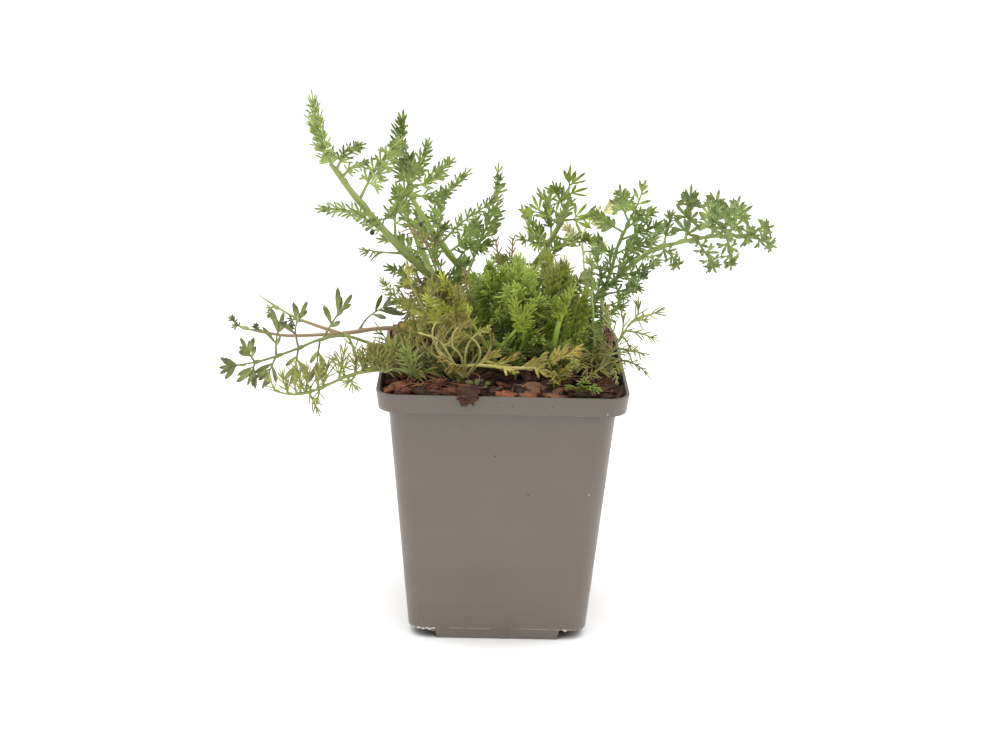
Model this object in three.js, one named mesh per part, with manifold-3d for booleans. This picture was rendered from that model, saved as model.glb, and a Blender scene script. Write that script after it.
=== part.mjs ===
// A potted fine-leaved water dropwort in a square nursery pot.
// Millimetres, +Z up, the front faces -Y, the origin is the centre of the pot foot at the floor.

import * as THREE from 'three';
import { mergeVertices } from 'three/addons/utils/BufferGeometryUtils.js';
import Module from 'manifold-3d';

// Pot sizes
const POT_HEIGHT = 99;
const POT_WALL = 1.2;
const RIM_HALF_TOP = 45;
const RIM_HALF_LOW = 44.2;
const RIM_BAND_HEIGHT = 6.8;
const RIM_CORNER = 8;
const BODY_HALF_TOP = 40.8;
const BODY_HALF_LOW = 33.2;
const BODY_CORNER = 7;
const FOOT_HEIGHT = 3.9;
const FOOT_INSET = 0.4;
const FOOT_SIDE_HALF = 22.3;
const FOOT_END_SLANT = 1.2;
const FLOOR_THICKNESS = 1.6;
const DRAIN_RADIUS = 2.4;
const DRAIN_OFFSET = 26.5;
const DRAIN_SIDES = 10;
const POT_EDGE = 0.4;
const POT_LEDGE_SLOPE = 0.2;
const ARC_STEPS = 4;

// Filling sizes
const GAP = 0.3;
const SOIL_TOP = 93.4;
const SOIL_CORNER = 5.6;
const MULCH_BOTTOM = 93.7;
const MULCH_BASE_TOP = 95.7;
const MULCH_HALF = 42.6;
const MULCH_CORNER = 6.6;
const STEM_HOLE_CLEARANCE = 0.4;
const MULCH_HOLE_CLEARANCE = 0.7;
const HOLE_SIDES = 5;
const CHIP_GRID = 6;
const CHIP_LENGTH = 16;
const CHIP_WIDTH = 8;
const CHIP_THICKNESS = 2.2;
const CHIP_SHIFT = 0.5;
const CHIP_TILT = 0.5;
const CHIP_ROLL = 0.6;
const CHIP_LIFT = 0.9;
const CHIP_LIFT_SPREAD = 0.8;
const MULCH_SEED = 17;

// Leaf sizes
const RACHIS_HALF_WIDTH = 0.6;
const RACHIS_HALF_WIDTH_TIP = 0.4;
const BLADE_HALF_THICKNESS = 0.38;
const PINNA_ANGLE = 1.08;
const PINNA_ANGLE_FALL = 0.35;
const PINNA_ANGLE_SPREAD = 0.2;
const PINNA_LIFT = 0.3;
const PINNA_DROOP = 0.16;
const PINNA_WIDTH_SHARE = 0.42;
const PINNA_ROOM_SHARE = 0.46;
const END_PINNA_SHARE = 0.65;
const LEAF_TURN_SIDEWAYS = 1.2;
const LEAF_TURN_UP = 0.9;
const BARE_STALK_SHARE = 0.25;
const PINNA_LENGTH_LEAST = 0.85;
const PINNA_LENGTH_SPREAD = 0.3;
const LEAF_SEED_STEP = 100;
const STEM_SIDES = 5;
const BRANCH_SIDES = 4;

const BACK = new THREE.Vector3(0, 1, 0);

const wasm = await Module();
wasm.setup();

function seededDraw(seed) {
  let state = seed >>> 0;
  return () => {
    state = (state + 0x6D2B79F5) >>> 0;
    let mixed = state;
    mixed = Math.imul(mixed ^ (mixed >>> 15), mixed | 1);
    mixed ^= mixed + Math.imul(mixed ^ (mixed >>> 7), mixed | 61);
    return ((mixed ^ (mixed >>> 14)) >>> 0) / 4294967296;
  };
}

// Solids, joined and cut

function solidFromLists(positions, triangles) {
  return new wasm.Manifold(new wasm.Mesh({
    numProp: 3,
    vertProperties: new Float32Array(positions),
    triVerts: new Uint32Array(triangles),
  }));
}

function solidFromGeometry(geometry) {
  const bare = new THREE.BufferGeometry();
  bare.setAttribute('position', geometry.getAttribute('position').clone());
  if (geometry.index) {
    bare.setIndex(geometry.index.clone());
  }
  const welded = mergeVertices(bare, 1e-4);
  return solidFromLists(welded.attributes.position.array, welded.index.array);
}

function geometryFromSolid(solid) {
  const mesh = solid.getMesh();
  const geometry = new THREE.BufferGeometry();
  geometry.setAttribute('position', new THREE.BufferAttribute(new Float32Array(mesh.vertProperties), 3));
  geometry.setIndex(new THREE.BufferAttribute(new Uint32Array(mesh.triVerts), 1));
  return geometry;
}

function fused(solids) {
  return wasm.Manifold.union(solids).simplify(0.01);
}

function largestBody(solid) {
  return solid.decompose().reduce((best, one) => (one.volume() > best.volume() ? one : best));
}

function meshOf(name, solid, colour, roughness) {
  const material = new THREE.MeshStandardMaterial({ color: colour, roughness, metalness: 0 });
  const mesh = new THREE.Mesh(geometryFromSolid(solid), material);
  mesh.name = name;
  return mesh;
}

// Rounded-square rings and cross-shaped foot rings, stacked into closed walls

function squareRing(half, corner, height) {
  const ring = [];
  for (let quarter = 0; quarter < 4; quarter += 1) {
    const turn = quarter * Math.PI / 2;
    for (let step = 0; step <= ARC_STEPS; step += 1) {
      const angle = turn + (step / ARC_STEPS) * Math.PI / 2;
      const centre = new THREE.Vector2(half - corner, half - corner).rotateAround(new THREE.Vector2(), turn);
      ring.push([centre.x + corner * Math.cos(angle), centre.y + corner * Math.sin(angle), height]);
    }
  }
  return ring;
}

function footRing(half, sideHalf, height) {
  const ring = [];
  for (let quarter = 0; quarter < 4; quarter += 1) {
    const turn = quarter * Math.PI / 2;
    for (let step = 0; step <= ARC_STEPS; step += 1) {
      const inward = Math.min(1, 2 * step / ARC_STEPS);
      const outward = Math.max(0, 2 * step / ARC_STEPS - 1);
      const point = new THREE.Vector2(
        half + (sideHalf - half) * inward,
        sideHalf + (half - sideHalf) * outward,
      ).rotateAround(new THREE.Vector2(), turn);
      ring.push([point.x, point.y, height]);
    }
  }
  return ring;
}

function stackedRings(rings) {
  const count = rings[0].length;
  const positions = rings.flat(2);
  const triangles = [];
  for (let level = 0; level + 1 < rings.length; level += 1) {
    for (let index = 0; index < count; index += 1) {
      const next = (index + 1) % count;
      const low = level * count;
      const high = low + count;
      triangles.push(low + index, low + next, high + next);
      triangles.push(low + index, high + next, high + index);
    }
  }
  const top = (rings.length - 1) * count;
  const bottomCentre = rings.length * count;
  const topCentre = bottomCentre + 1;
  positions.push(0, 0, rings[0][0][2], 0, 0, rings.at(-1)[0][2]);
  for (let index = 0; index < count; index += 1) {
    const next = (index + 1) % count;
    triangles.push(bottomCentre, next, index);
    triangles.push(topCentre, top + index, top + next);
  }
  return solidFromLists(positions, triangles);
}

function bodyHalfAt(height) {
  const low = FOOT_HEIGHT;
  const high = POT_HEIGHT - RIM_BAND_HEIGHT;
  return BODY_HALF_LOW + (BODY_HALF_TOP - BODY_HALF_LOW) * (height - low) / (high - low);
}

function potSolid() {
  const bandLow = POT_HEIGHT - RIM_BAND_HEIGHT;
  const cornerFloor = FOOT_HEIGHT + FLOOR_THICKNESS;
  const footHalf = BODY_HALF_LOW - FOOT_INSET;
  const solid = stackedRings([
    footRing(footHalf - POT_EDGE, FOOT_SIDE_HALF, 0),
    footRing(footHalf, FOOT_SIDE_HALF, POT_EDGE),
    footRing(footHalf, FOOT_SIDE_HALF + FOOT_END_SLANT, FOOT_HEIGHT - 0.3),
    squareRing(BODY_HALF_LOW, BODY_CORNER, FOOT_HEIGHT),
    squareRing(BODY_HALF_TOP, BODY_CORNER, bandLow),
    squareRing(RIM_HALF_LOW, RIM_CORNER, bandLow),
    squareRing(RIM_HALF_TOP - 0.1, RIM_CORNER, POT_HEIGHT - POT_EDGE),
    squareRing(RIM_HALF_TOP - POT_EDGE, RIM_CORNER - POT_EDGE, POT_HEIGHT),
    squareRing(RIM_HALF_TOP - POT_WALL, RIM_CORNER - POT_WALL, POT_HEIGHT),
    squareRing(RIM_HALF_LOW - POT_WALL, RIM_CORNER - POT_WALL, bandLow + POT_WALL),
    squareRing(bodyHalfAt(bandLow) - POT_WALL, BODY_CORNER - POT_WALL, bandLow + POT_WALL - POT_LEDGE_SLOPE),
    squareRing(bodyHalfAt(cornerFloor) - POT_WALL, BODY_CORNER - POT_WALL, cornerFloor),
    footRing(footHalf - POT_WALL, FOOT_SIDE_HALF + FOOT_END_SLANT - POT_WALL, cornerFloor - POT_LEDGE_SLOPE),
    footRing(footHalf - POT_WALL, FOOT_SIDE_HALF - POT_WALL, FLOOR_THICKNESS),
  ]);
  const drains = [];
  for (const side of [-1, 1]) {
    for (const end of [-1, 1]) {
      const drain = new THREE.CylinderGeometry(DRAIN_RADIUS, DRAIN_RADIUS, 4 * FLOOR_THICKNESS, DRAIN_SIDES);
      drain.rotateX(Math.PI / 2);
      drain.translate(side * DRAIN_OFFSET, end * DRAIN_OFFSET, FOOT_HEIGHT + FLOOR_THICKNESS / 2);
      drains.push(solidFromGeometry(drain));
    }
  }
  return solid.subtract(wasm.Manifold.union(drains));
}

// Stems

function curveThrough(points) {
  return new THREE.CatmullRomCurve3(points.map((p) => new THREE.Vector3(...p)), false, 'catmullrom', 0.5);
}

function frameAlong(curve, u, facing) {
  const along = curve.getTangent(u);
  const normal = facing.clone().addScaledVector(along, -facing.dot(along)).normalize();
  const side = new THREE.Vector3().crossVectors(normal, along);
  return { at: curve.getPoint(u), along, normal, side };
}

function stemSolid(points, radii, sides, steps) {
  const curve = curveThrough(points);
  const positions = [];
  const triangles = [];
  for (let step = 0; step <= steps; step += 1) {
    const u = step / steps;
    const { at, normal, side } = frameAlong(curve, u, BACK);
    const radius = radii[0] + (radii[1] - radii[0]) * u;
    for (let corner = 0; corner < sides; corner += 1) {
      const angle = 2 * Math.PI * corner / sides;
      const point = at.clone()
        .addScaledVector(side, radius * Math.cos(angle))
        .addScaledVector(normal, radius * Math.sin(angle));
      positions.push(point.x, point.y, point.z);
    }
  }
  for (let step = 0; step < steps; step += 1) {
    for (let corner = 0; corner < sides; corner += 1) {
      const next = (corner + 1) % sides;
      const low = step * sides;
      const high = low + sides;
      triangles.push(low + corner, low + next, high + next);
      triangles.push(low + corner, high + next, high + corner);
    }
  }
  const end = steps * sides;
  for (let corner = 1; corner + 1 < sides; corner += 1) {
    triangles.push(0, corner + 1, corner);
    triangles.push(end, end + corner, end + corner + 1);
  }
  return solidFromLists(positions, triangles);
}

// Leaves: one closed blade each, a rachis strip with cut pinnae standing out of its sides.
// Each cut lists its points from the rachis outwards: a sharp tip, or a notch of full thickness.

const CUTS = {
  needle: { spacing: 3.1, gap: 0, lobes: [] },
  fine: { spacing: 2.1, gap: 0, lobes: [] },
  lobed: { spacing: 4.9, gap: 0.34, lobes: [['tip', 0.62, 1.0], ['notch', 0.42, 0.22]] },
  broad: { spacing: 5.2, gap: 0.34, lobes: [['tip', 0.66, 1.0], ['notch', 0.56, 0.36]] },
};

class Blade {
  constructor() {
    this.positions = [];
    this.triangles = [];
  }

  point(vector) {
    this.positions.push(vector.x, vector.y, vector.z);
    return this.positions.length / 3 - 1;
  }

  pair(vector, normal) {
    const top = this.point(vector.clone().addScaledVector(normal, BLADE_HALF_THICKNESS));
    const bottom = this.point(vector.clone().addScaledVector(normal, -BLADE_HALF_THICKNESS));
    return { top, bottom };
  }

  single(vector) {
    const both = this.point(vector);
    return { top: both, bottom: both };
  }

  triangle(a, b, c, turned) {
    if (a === b || b === c || a === c) {
      return;
    }
    this.triangles.push(...(turned ? [a, c, b] : [a, b, c]));
  }

  faces(a, b, c, turned) {
    this.triangle(a.top, b.top, c.top, turned);
    this.triangle(a.bottom, c.bottom, b.bottom, turned);
  }

  wall(a, b, turned) {
    this.triangle(a.top, a.bottom, b.bottom, turned);
    this.triangle(a.top, b.bottom, b.top, turned);
  }

  // A lobed pinna between two corners of the rachis, its outline the same on both sides of its axis.
  pinna(rear, front, frame, length, halfWidth, lobes, turned) {
    const place = (x, y) => frame.at.clone()
      .addScaledVector(frame.out, x * length)
      .addScaledVector(frame.ahead, y * halfWidth)
      .addScaledVector(frame.normal, -PINNA_DROOP * x * x * length);
    const rearLine = [rear];
    const frontLine = [front];
    for (const [kind, x, y] of lobes) {
      const rearAt = place(x, -y);
      const frontAt = place(x, y);
      rearLine.push(kind === 'tip' ? this.single(rearAt) : this.pair(rearAt, frame.normal));
      frontLine.push(kind === 'tip' ? this.single(frontAt) : this.pair(frontAt, frame.normal));
    }
    const end = this.single(place(1, 0));
    const core = [0];
    for (let index = 1; index < rearLine.length; index += 1) {
      this.wall(rearLine[index - 1], rearLine[index], turned);
      this.wall(frontLine[index], frontLine[index - 1], turned);
      if (lobes[index - 1][0] === 'tip') {
        this.faces(rearLine[index - 1], rearLine[index], rearLine[index + 1], turned);
        this.faces(frontLine[index + 1], frontLine[index], frontLine[index - 1], turned);
      } else {
        core.push(index);
      }
    }
    const last = rearLine.length - 1;
    this.wall(rearLine[last], end, turned);
    this.wall(end, frontLine[last], turned);
    this.faces(rearLine[last], end, frontLine[last], turned);
    for (let index = 0; index + 1 < core.length; index += 1) {
      const near = core[index];
      const far = core[index + 1];
      this.faces(rearLine[near], rearLine[far], frontLine[far], turned);
      this.faces(rearLine[near], frontLine[far], frontLine[near], turned);
    }
  }
}

function reachShare(u) {
  return 1.26 * (0.75 + 0.9 * u) * Math.pow(1 - 0.93 * u, 0.75);
}

// Where the rachis has its corners, as shares of its length, and which stretches carry a pinna pair.
function leafStations(bare, endShare, total, cut) {
  const pairs = Math.max(1, Math.round((endShare - bare) * total / cut.spacing));
  const spacing = (endShare - bare) / pairs;
  const stations = [0];
  const grown = [];
  for (let pair = 0; pair < pairs; pair += 1) {
    stations.push(bare + spacing * pair);
    grown.push(stations.length - 1);
    if (cut.gap > 0) {
      stations.push(bare + spacing * (pair + 1 - cut.gap));
    }
  }
  stations.push(endShare);
  return { stations, grown, spacing: spacing * total };
}

function rachisRing(blade, curve, share, facing) {
  const frame = frameAlong(curve, curve.getUtoTmapping(Math.min(share, 0.999)), facing);
  const half = RACHIS_HALF_WIDTH + (RACHIS_HALF_WIDTH_TIP - RACHIS_HALF_WIDTH) * share;
  return {
    frame,
    left: blade.pair(frame.at.clone().addScaledVector(frame.side, half), frame.normal),
    right: blade.pair(frame.at.clone().addScaledVector(frame.side, -half), frame.normal),
  };
}

function pinnaFrame(rear, front, sign, angle, lift) {
  const { along, side, normal: face } = rear.frame;
  const flat = along.clone().multiplyScalar(Math.cos(angle)).addScaledVector(side, sign * Math.sin(angle));
  const out = flat.clone().multiplyScalar(Math.cos(lift)).addScaledVector(face, Math.sin(lift));
  const ahead = new THREE.Vector3().crossVectors(face, flat).multiplyScalar(-sign);
  const normal = new THREE.Vector3().crossVectors(out, ahead).multiplyScalar(-sign);
  const at = rear.frame.at.clone().add(front.frame.at).multiplyScalar(0.5);
  return { at, out, ahead, normal };
}

function leafSolid(rachis, leaf, seed) {
  const draw = seededDraw(seed);
  const cut = CUTS[leaf.cut ?? 'needle'];
  const curve = curveThrough(rachis);
  const total = curve.getLength();
  const bare = leaf.bare ?? BARE_STALK_SHARE;
  const facing = new THREE.Vector3(...(leaf.face ?? [0, -1, 0]));
  facing.x += LEAF_TURN_SIDEWAYS * (draw() - 0.5);
  facing.z += LEAF_TURN_UP * (draw() - 0.5);
  const blade = new Blade();
  const endLength = leaf.reach * (leaf.end ?? END_PINNA_SHARE);
  const endShare = Math.max(1 - 0.6 * endLength / total, bare + 0.35);
  const { stations, grown, spacing } = leafStations(bare, endShare, total, cut);
  const rings = stations.map((share) => rachisRing(blade, curve, share, facing));
  blade.wall(rings[0].left, rings[0].right, false);
  for (let index = 0; index + 1 < rings.length; index += 1) {
    const rear = rings[index];
    const front = rings[index + 1];
    blade.faces(rear.right, front.right, front.left, false);
    blade.faces(rear.right, front.left, rear.left, false);
    for (const sign of [1, -1]) {
      const turned = sign > 0;
      const near = turned ? rear.left : rear.right;
      const far = turned ? front.left : front.right;
      if (!grown.includes(index)) {
        blade.wall(near, far, turned);
        continue;
      }
      const share = grown.indexOf(index) / grown.length;
      const lift = PINNA_LIFT * (2 * draw() - 1);
      const length = leaf.reach * reachShare(share) * (PINNA_LENGTH_LEAST + PINNA_LENGTH_SPREAD * draw());
      const angle = PINNA_ANGLE - PINNA_ANGLE_FALL * share + PINNA_ANGLE_SPREAD * (draw() - 0.5);
      const halfWidth = Math.min(PINNA_WIDTH_SHARE * length, PINNA_ROOM_SHARE * spacing * Math.sin(angle));
      const frame = pinnaFrame(rear, front, sign, angle, lift);
      blade.pinna(near, far, frame, length, halfWidth, cut.lobes, turned);
    }
  }
  const last = rings[rings.length - 1];
  const { at, along, side, normal } = last.frame;
  const endFrame = { at, out: along, ahead: side, normal };
  blade.pinna(last.right, last.left, endFrame, endLength, PINNA_WIDTH_SHARE * endLength, cut.lobes, false);
  return solidFromLists(blade.positions, blade.triangles);
}

// Shoots: one stem with its leaves. "from" counts along the stem's points; "to" leads to the leaf tip.

const SHOOTS = [
  {
    name: 'shoot_left_tall',
    colour: 0x86a63c,
    stem: [[-9, 2, 84], [-9, 2, 98], [-11, 2, 104], [-16, 3, 112], [-26, 2, 128], [-38, -2, 141],
      [-53, -8, 160], [-63, -12, 174]],
    radii: [1.7, 1.0],
    leaves: [
      { from: 7, to: [[-67, -15, 188], [-68, -13, 200]], reach: 6, bare: 0.12 },
      { from: 6.8, to: [[-57, -14, 179], [-51, -16, 182]], reach: 4.5 },
      { from: 6.6, to: [[-55, -10, 173], [-50, -8, 174]], reach: 3.4 },
      { from: 6, to: [[-49, -6, 168], [-44, -5, 175], [-38, -4, 182]], reach: 6.5, cut: 'lobed' },
      { from: 5.3, to: [[-54, -10, 156], [-67, -13, 158]], reach: 5, cut: 'lobed' },
      { from: 5.15, to: [[-40, -2, 155], [-36, 0, 164], [-34, 2, 173]], reach: 7, cut: 'lobed' },
      { from: 4.9, to: [[-44, -7, 141], [-52, -11, 143]], reach: 4.5, bare: 0.5 },
      { from: 4.4, to: [[-37, -6, 134], [-43, -9, 136]], reach: 5 },
      { from: 4, to: [[-35, -3, 120], [-40, -5, 124], [-45, -7, 131]], reach: 3.4, bare: 0.5 },
      { from: 4.2, to: [[-33, 5, 120], [-37, 8, 109]], reach: 4.5 },
    ],
  },
  {
    name: 'shoot_left_second',
    colour: 0x6f9437,
    stem: [[-1, 15, 84], [-1, 15, 98], [-2, 15, 104], [-4, 14, 112], [-8, 13, 119], [-14, 12, 128],
      [-21, 10, 137], [-28, 9, 147], [-34, 8, 157], [-36, 8, 163]],
    radii: [1.5, 0.9],
    leaves: [
      { from: 9, to: [[-38, 8, 176], [-38, 6, 189]], reach: 7, bare: 0.1 },
      { from: 8.9, to: [[-32, 13, 170], [-29, 16, 178]], reach: 5 },
      { from: 8.8, to: [[-28, 12, 164], [-20, 16, 171]], reach: 4.5 },
      { from: 8.4, to: [[-27, 14, 157], [-21, 18, 159]], reach: 4 },
      { from: 6.4, to: [[-25, 12, 154], [-14, 16, 167]], reach: 5 },
      { from: 6.4, to: [[-15, 4, 151], [-3, 2, 160]], reach: 4 },
      { from: 5, to: [[-7, 16, 146], [-4, 19, 156], [-3, 20, 168]], reach: 5.5 },
      { from: 5.6, to: [[-13, 4, 141], [-7, -1, 141]], reach: 6 },
      { from: 6, to: [[-14, 16, 142], [-10, 20, 148]], reach: 6 },
      { from: 6.1, to: [[-27, 5, 139], [-24, 1, 147]], reach: 6 },
      { from: 7.3, to: [[-34, 12, 147], [-37, 13, 149]], reach: 3.4 },
    ],
  },
  {
    name: 'bush_left',
    colour: 0x5f9a2c,
    stem: [[-4, 7, 84], [-4, 7, 99], [-4, 8, 105], [-5, 8, 112], [-6, 6, 120]],
    radii: [1.5, 1.1],
    leaves: [
      { from: 3.4, to: [[-10, 1, 117], [-13, -2, 123]], reach: 6 },
      { from: 3.8, to: [[-9, 3, 125], [-12, 2, 132]], reach: 6 },
      { from: 4, to: [[-6, 6, 127], [-5, 6, 136]], reach: 6 },
      { from: 3.9, to: [[-2, 3, 127], [0, 0, 135]], reach: 6.5 },
      { from: 3.2, to: [[-2, -4, 116], [-1, -10, 120]], reach: 6 },
    ],
  },
  {
    name: 'bush_middle',
    colour: 0x66a02e,
    stem: [[8, 3, 84], [8, 3, 99], [8, 3, 104], [8, 3, 112], [8, 2, 120]],
    radii: [1.6, 1.3],
    leaves: [
      { from: 4, to: [[7, -2, 124], [4, -6, 130]], reach: 6.5 },
      { from: 4, to: [[8, 2, 127], [9, 2, 135]], reach: 6.5 },
      { from: 3.7, to: [[11, -3, 120], [13, -8, 126]], reach: 6.5 },
      { from: 3.9, to: [[6, 6, 130], [5, 9, 138]], reach: 6 },
      { from: 2.3, to: [[4, -5, 108], [1, -12, 112]], reach: 5.5 },
      { from: 2.4, to: [[12, -6, 108], [13, -14, 113]], reach: 5.5 },
    ],
  },
  {
    name: 'bush_right',
    colour: 0x5b962e,
    stem: [[19, 8, 84], [19, 8, 99], [19, 8, 105], [20, 7, 112], [20, 6, 121]],
    radii: [1.6, 1.2],
    leaves: [
      { from: 4, to: [[17, 6, 129], [15, 7, 140]], reach: 6.5 },
      { from: 4, to: [[21, 5, 128], [22, 4, 137]], reach: 6.5 },
      { from: 3.8, to: [[25, 4, 125], [30, 2, 132]], reach: 6.5 },
      { from: 3.4, to: [[26, 2, 118], [32, -2, 122]], reach: 6.5 },
      { from: 2.8, to: [[25, -1, 110], [29, -6, 113]], reach: 5.5 },
      { from: 2.3, to: [[20, -4, 107], [21, -10, 110]], reach: 5 },
    ],
  },
  {
    name: 'shoot_back',
    colour: 0x647b30,
    stem: [[12, 25, 84], [12, 25, 97], [11, 26, 112], [11, 26, 127], [16, 26, 136], [21, 26, 145],
      [24, 26, 154]],
    radii: [1.7, 0.8],
    leaves: [
      { from: 6, to: [[24, 26, 160], [24, 26, 166]], reach: 7, cut: 'lobed', end: 0.7 },
      { from: 5, to: [[14, 27, 149], [7, 28, 150]], reach: 6, cut: 'lobed' },
      { from: 4.2, to: [[11, 22, 139], [5, 18, 142]], reach: 5 },
      { from: 5.2, to: [[17, 28, 152], [13, 30, 157]], reach: 5.5, cut: 'lobed' },
      { from: 5.2, to: [[28, 28, 147], [35, 30, 148]], reach: 6, cut: 'lobed' },
      { from: 4.5, to: [[27, 24, 139], [33, 22, 141]], reach: 5 },
      { from: 5.6, to: [[20, 25, 156], [18, 24, 161]], reach: 5 },
      { from: 3.2, to: [[5, 25, 130], [-2, 24, 133]], reach: 5 },
    ],
  },
  {
    name: 'leaf_pale',
    colour: 0xc9c878,
    stem: [[34, 33, 84], [34, 33, 97], [33, 34, 112], [31, 34, 129], [30, 34, 140]],
    radii: [0.9, 0.6],
    leaves: [
      { from: 4, to: [[34, 35, 146], [42, 36, 151]], reach: 4.5 },
      { from: 3.5, to: [[26, 33, 139], [24, 32, 144]], reach: 4.5 },
      { from: 3.3, to: [[36, 33, 134], [39, 32, 137]], reach: 4 },
    ],
  },
  {
    name: 'shoot_right_long',
    colour: 0x6d9a44,
    stem: [[28, 12, 84], [28, 12, 97], [30, 12, 108], [35, 11, 120], [43, 9, 130], [54, 7, 140],
      [64, 5, 144], [77, 4, 147], [88, 4, 147]],
    radii: [1.6, 0.8],
    leaves: [
      { from: 8, to: [[93, 3, 146.5], [99, 3, 144]], reach: 4.5, bare: 0.1 },
      { from: 7.95, to: [[92, 2, 150], [97, 0, 152]], reach: 4.5 },
      { from: 7.5, to: [[84, 7, 152], [86, 10, 159]], reach: 6.5, cut: 'lobed' },
      { from: 6.95, to: [[76, 2, 154], [77, 0, 163]], reach: 7, cut: 'lobed' },
      { from: 6.2, to: [[67.5, 6, 153], [68, 8, 163]], reach: 6.5, cut: 'lobed' },
      { from: 5.5, to: [[60, 9, 148], [62, 12, 154]], reach: 4.5 },
      { from: 5.4, to: [[61, 3, 140], [64, 0, 136]], reach: 4, cut: 'lobed' },
      { from: 6.5, to: [[74, 1, 141], [77, -3, 136]], reach: 4.5, cut: 'lobed' },
      { from: 7.4, to: [[83, 1, 142], [83, -3, 137]], reach: 4.5, cut: 'lobed' },
      { from: 5, to: [[55, 5, 147], [58, 3, 151]], reach: 4 },
      { from: 4.7, to: [[53, 3, 139], [57, -1, 137]], reach: 3.4 },
      { from: 4.2, to: [[47, 2, 129], [51, -4, 128]], reach: 4 },
    ],
  },
  {
    name: 'shoot_right_upright',
    colour: 0x4f7d38,
    stem: [[37, 19, 84], [37, 19, 97], [38, 20, 108], [38, 20, 118], [41, 20, 130], [43, 20, 139],
      [47, 20, 149]],
    radii: [1.4, 0.8],
    leaves: [
      { from: 6, to: [[50, 20, 156], [52, 20, 163]], reach: 4.5, cut: 'lobed' },
      { from: 5.5, to: [[39, 22, 147], [34, 24, 151]], reach: 5.5 },
      { from: 5.6, to: [[51, 17, 151], [56, 15, 153]], reach: 5.5 },
      { from: 5.9, to: [[44, 21, 154], [43, 22, 160]], reach: 6.5, cut: 'lobed' },
      { from: 5.2, to: [[53, 17, 146], [59, 14, 149]], reach: 5.5 },
      { from: 4.6, to: [[38, 25, 136], [35, 28, 140]], reach: 6 },
      { from: 4.6, to: [[49, 17, 140], [56, 14, 143]], reach: 6 },
      { from: 4, to: [[46, 14, 134], [49, 10, 137]], reach: 5 },
    ],
  },
  {
    name: 'leaf_silvery',
    colour: 0x7f9b66,
    stem: [[33, -3, 84], [33, -3, 97], [34, -3, 105], [33, -4, 118], [32, -5, 126]],
    radii: [1.0, 0.7],
    leaves: [
      { from: 4, to: [[32, -5, 133], [31, -6, 141]], reach: 5, bare: 0.1 },
    ],
  },
  {
    name: 'runner_left',
    colour: 0xa08560,
    stem: [[-20, 5, 86], [-20, 5, 98], [-23, 4, 103], [-30, 4, 107], [-39, 4, 109], [-48, 3, 109],
      [-57, 1, 108], [-68, -1, 107.5], [-80, -3, 107.5], [-89, -4, 109], [-97, -4, 110.5]],
    radii: [1.4, 0.5],
    branches: [
      { points: [[-61, 0, 108], [-71, 4, 110], [-80, 6, 113], [-92, 8, 120]], radii: [0.8, 0.45] },
    ],
    leaves: [
      { from: 10, to: [[-99, -4, 112], [-100, -4, 115]], reach: 2.4 },
      { from: 9.2, to: [[-91, -5, 111], [-91, -5, 112.5]], reach: 1.8 },
      { from: 5.7, to: [[-50, 7, 113], [-41, 9, 118]], reach: 6.5, bare: 0.45, cut: 'broad' },
      { branch: 0, from: 2.5, to: [[-87, 6, 115], [-87, 5, 112]], reach: 2.4 },
      { branch: 0, from: 1.7, to: [[-79, 5, 111], [-79, 4, 108]], reach: 2.4 },
    ],
  },
  {
    name: 'leaf_left_broad',
    colour: 0x6a7a3c,
    stem: [[-35, -9, 86], [-35, -9, 97.5], [-37, -9, 101], [-41, -9, 104.2], [-50, -11, 108],
      [-58, -12, 110.5], [-67, -12, 109], [-76, -12, 105], [-88, -12, 100.5], [-97, -12, 98.5]],
    radii: [1.2, 0.5],
    leaves: [
      { from: 9, to: [[-100, -12, 98], [-103, -12, 98]], reach: 5, cut: 'broad' },
      { from: 5.9, to: [[-62, -10, 116], [-57, -8, 123]], reach: 6, cut: 'broad' },
      { from: 6, to: [[-68, -13, 101], [-68, -15, 95]], reach: 5, cut: 'broad' },
      { from: 6.9, to: [[-76, -11, 113], [-73, -9, 120]], reach: 5.5, cut: 'broad' },
      { from: 6.9, to: [[-76, -14, 99], [-77, -16, 95]], reach: 4, cut: 'broad' },
      { from: 7.6, to: [[-83, -11, 109], [-81, -10, 116]], reach: 4.5, cut: 'broad' },
      { from: 7.6, to: [[-85, -13, 98], [-87, -15, 93]], reach: 4.5, cut: 'broad' },
      { from: 8.3, to: [[-93, -12, 103], [-95, -12, 107]], reach: 3.5, cut: 'broad' },
      { from: 8.3, to: [[-92, -13, 96], [-93, -14, 94]], reach: 3, cut: 'broad' },
    ],
  },
  {
    name: 'spray_left_low',
    colour: 0x83a03c,
    stem: [[-32, -24, 86], [-32, -24, 97.5], [-34, -24, 100.6], [-39, -24, 102], [-46, -25, 101.7],
      [-55, -26, 100], [-65, -27, 95.5], [-71, -28, 93.5], [-77, -28, 93], [-85, -28, 95]],
    radii: [1.2, 0.5],
    cut: 'fine',
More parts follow.
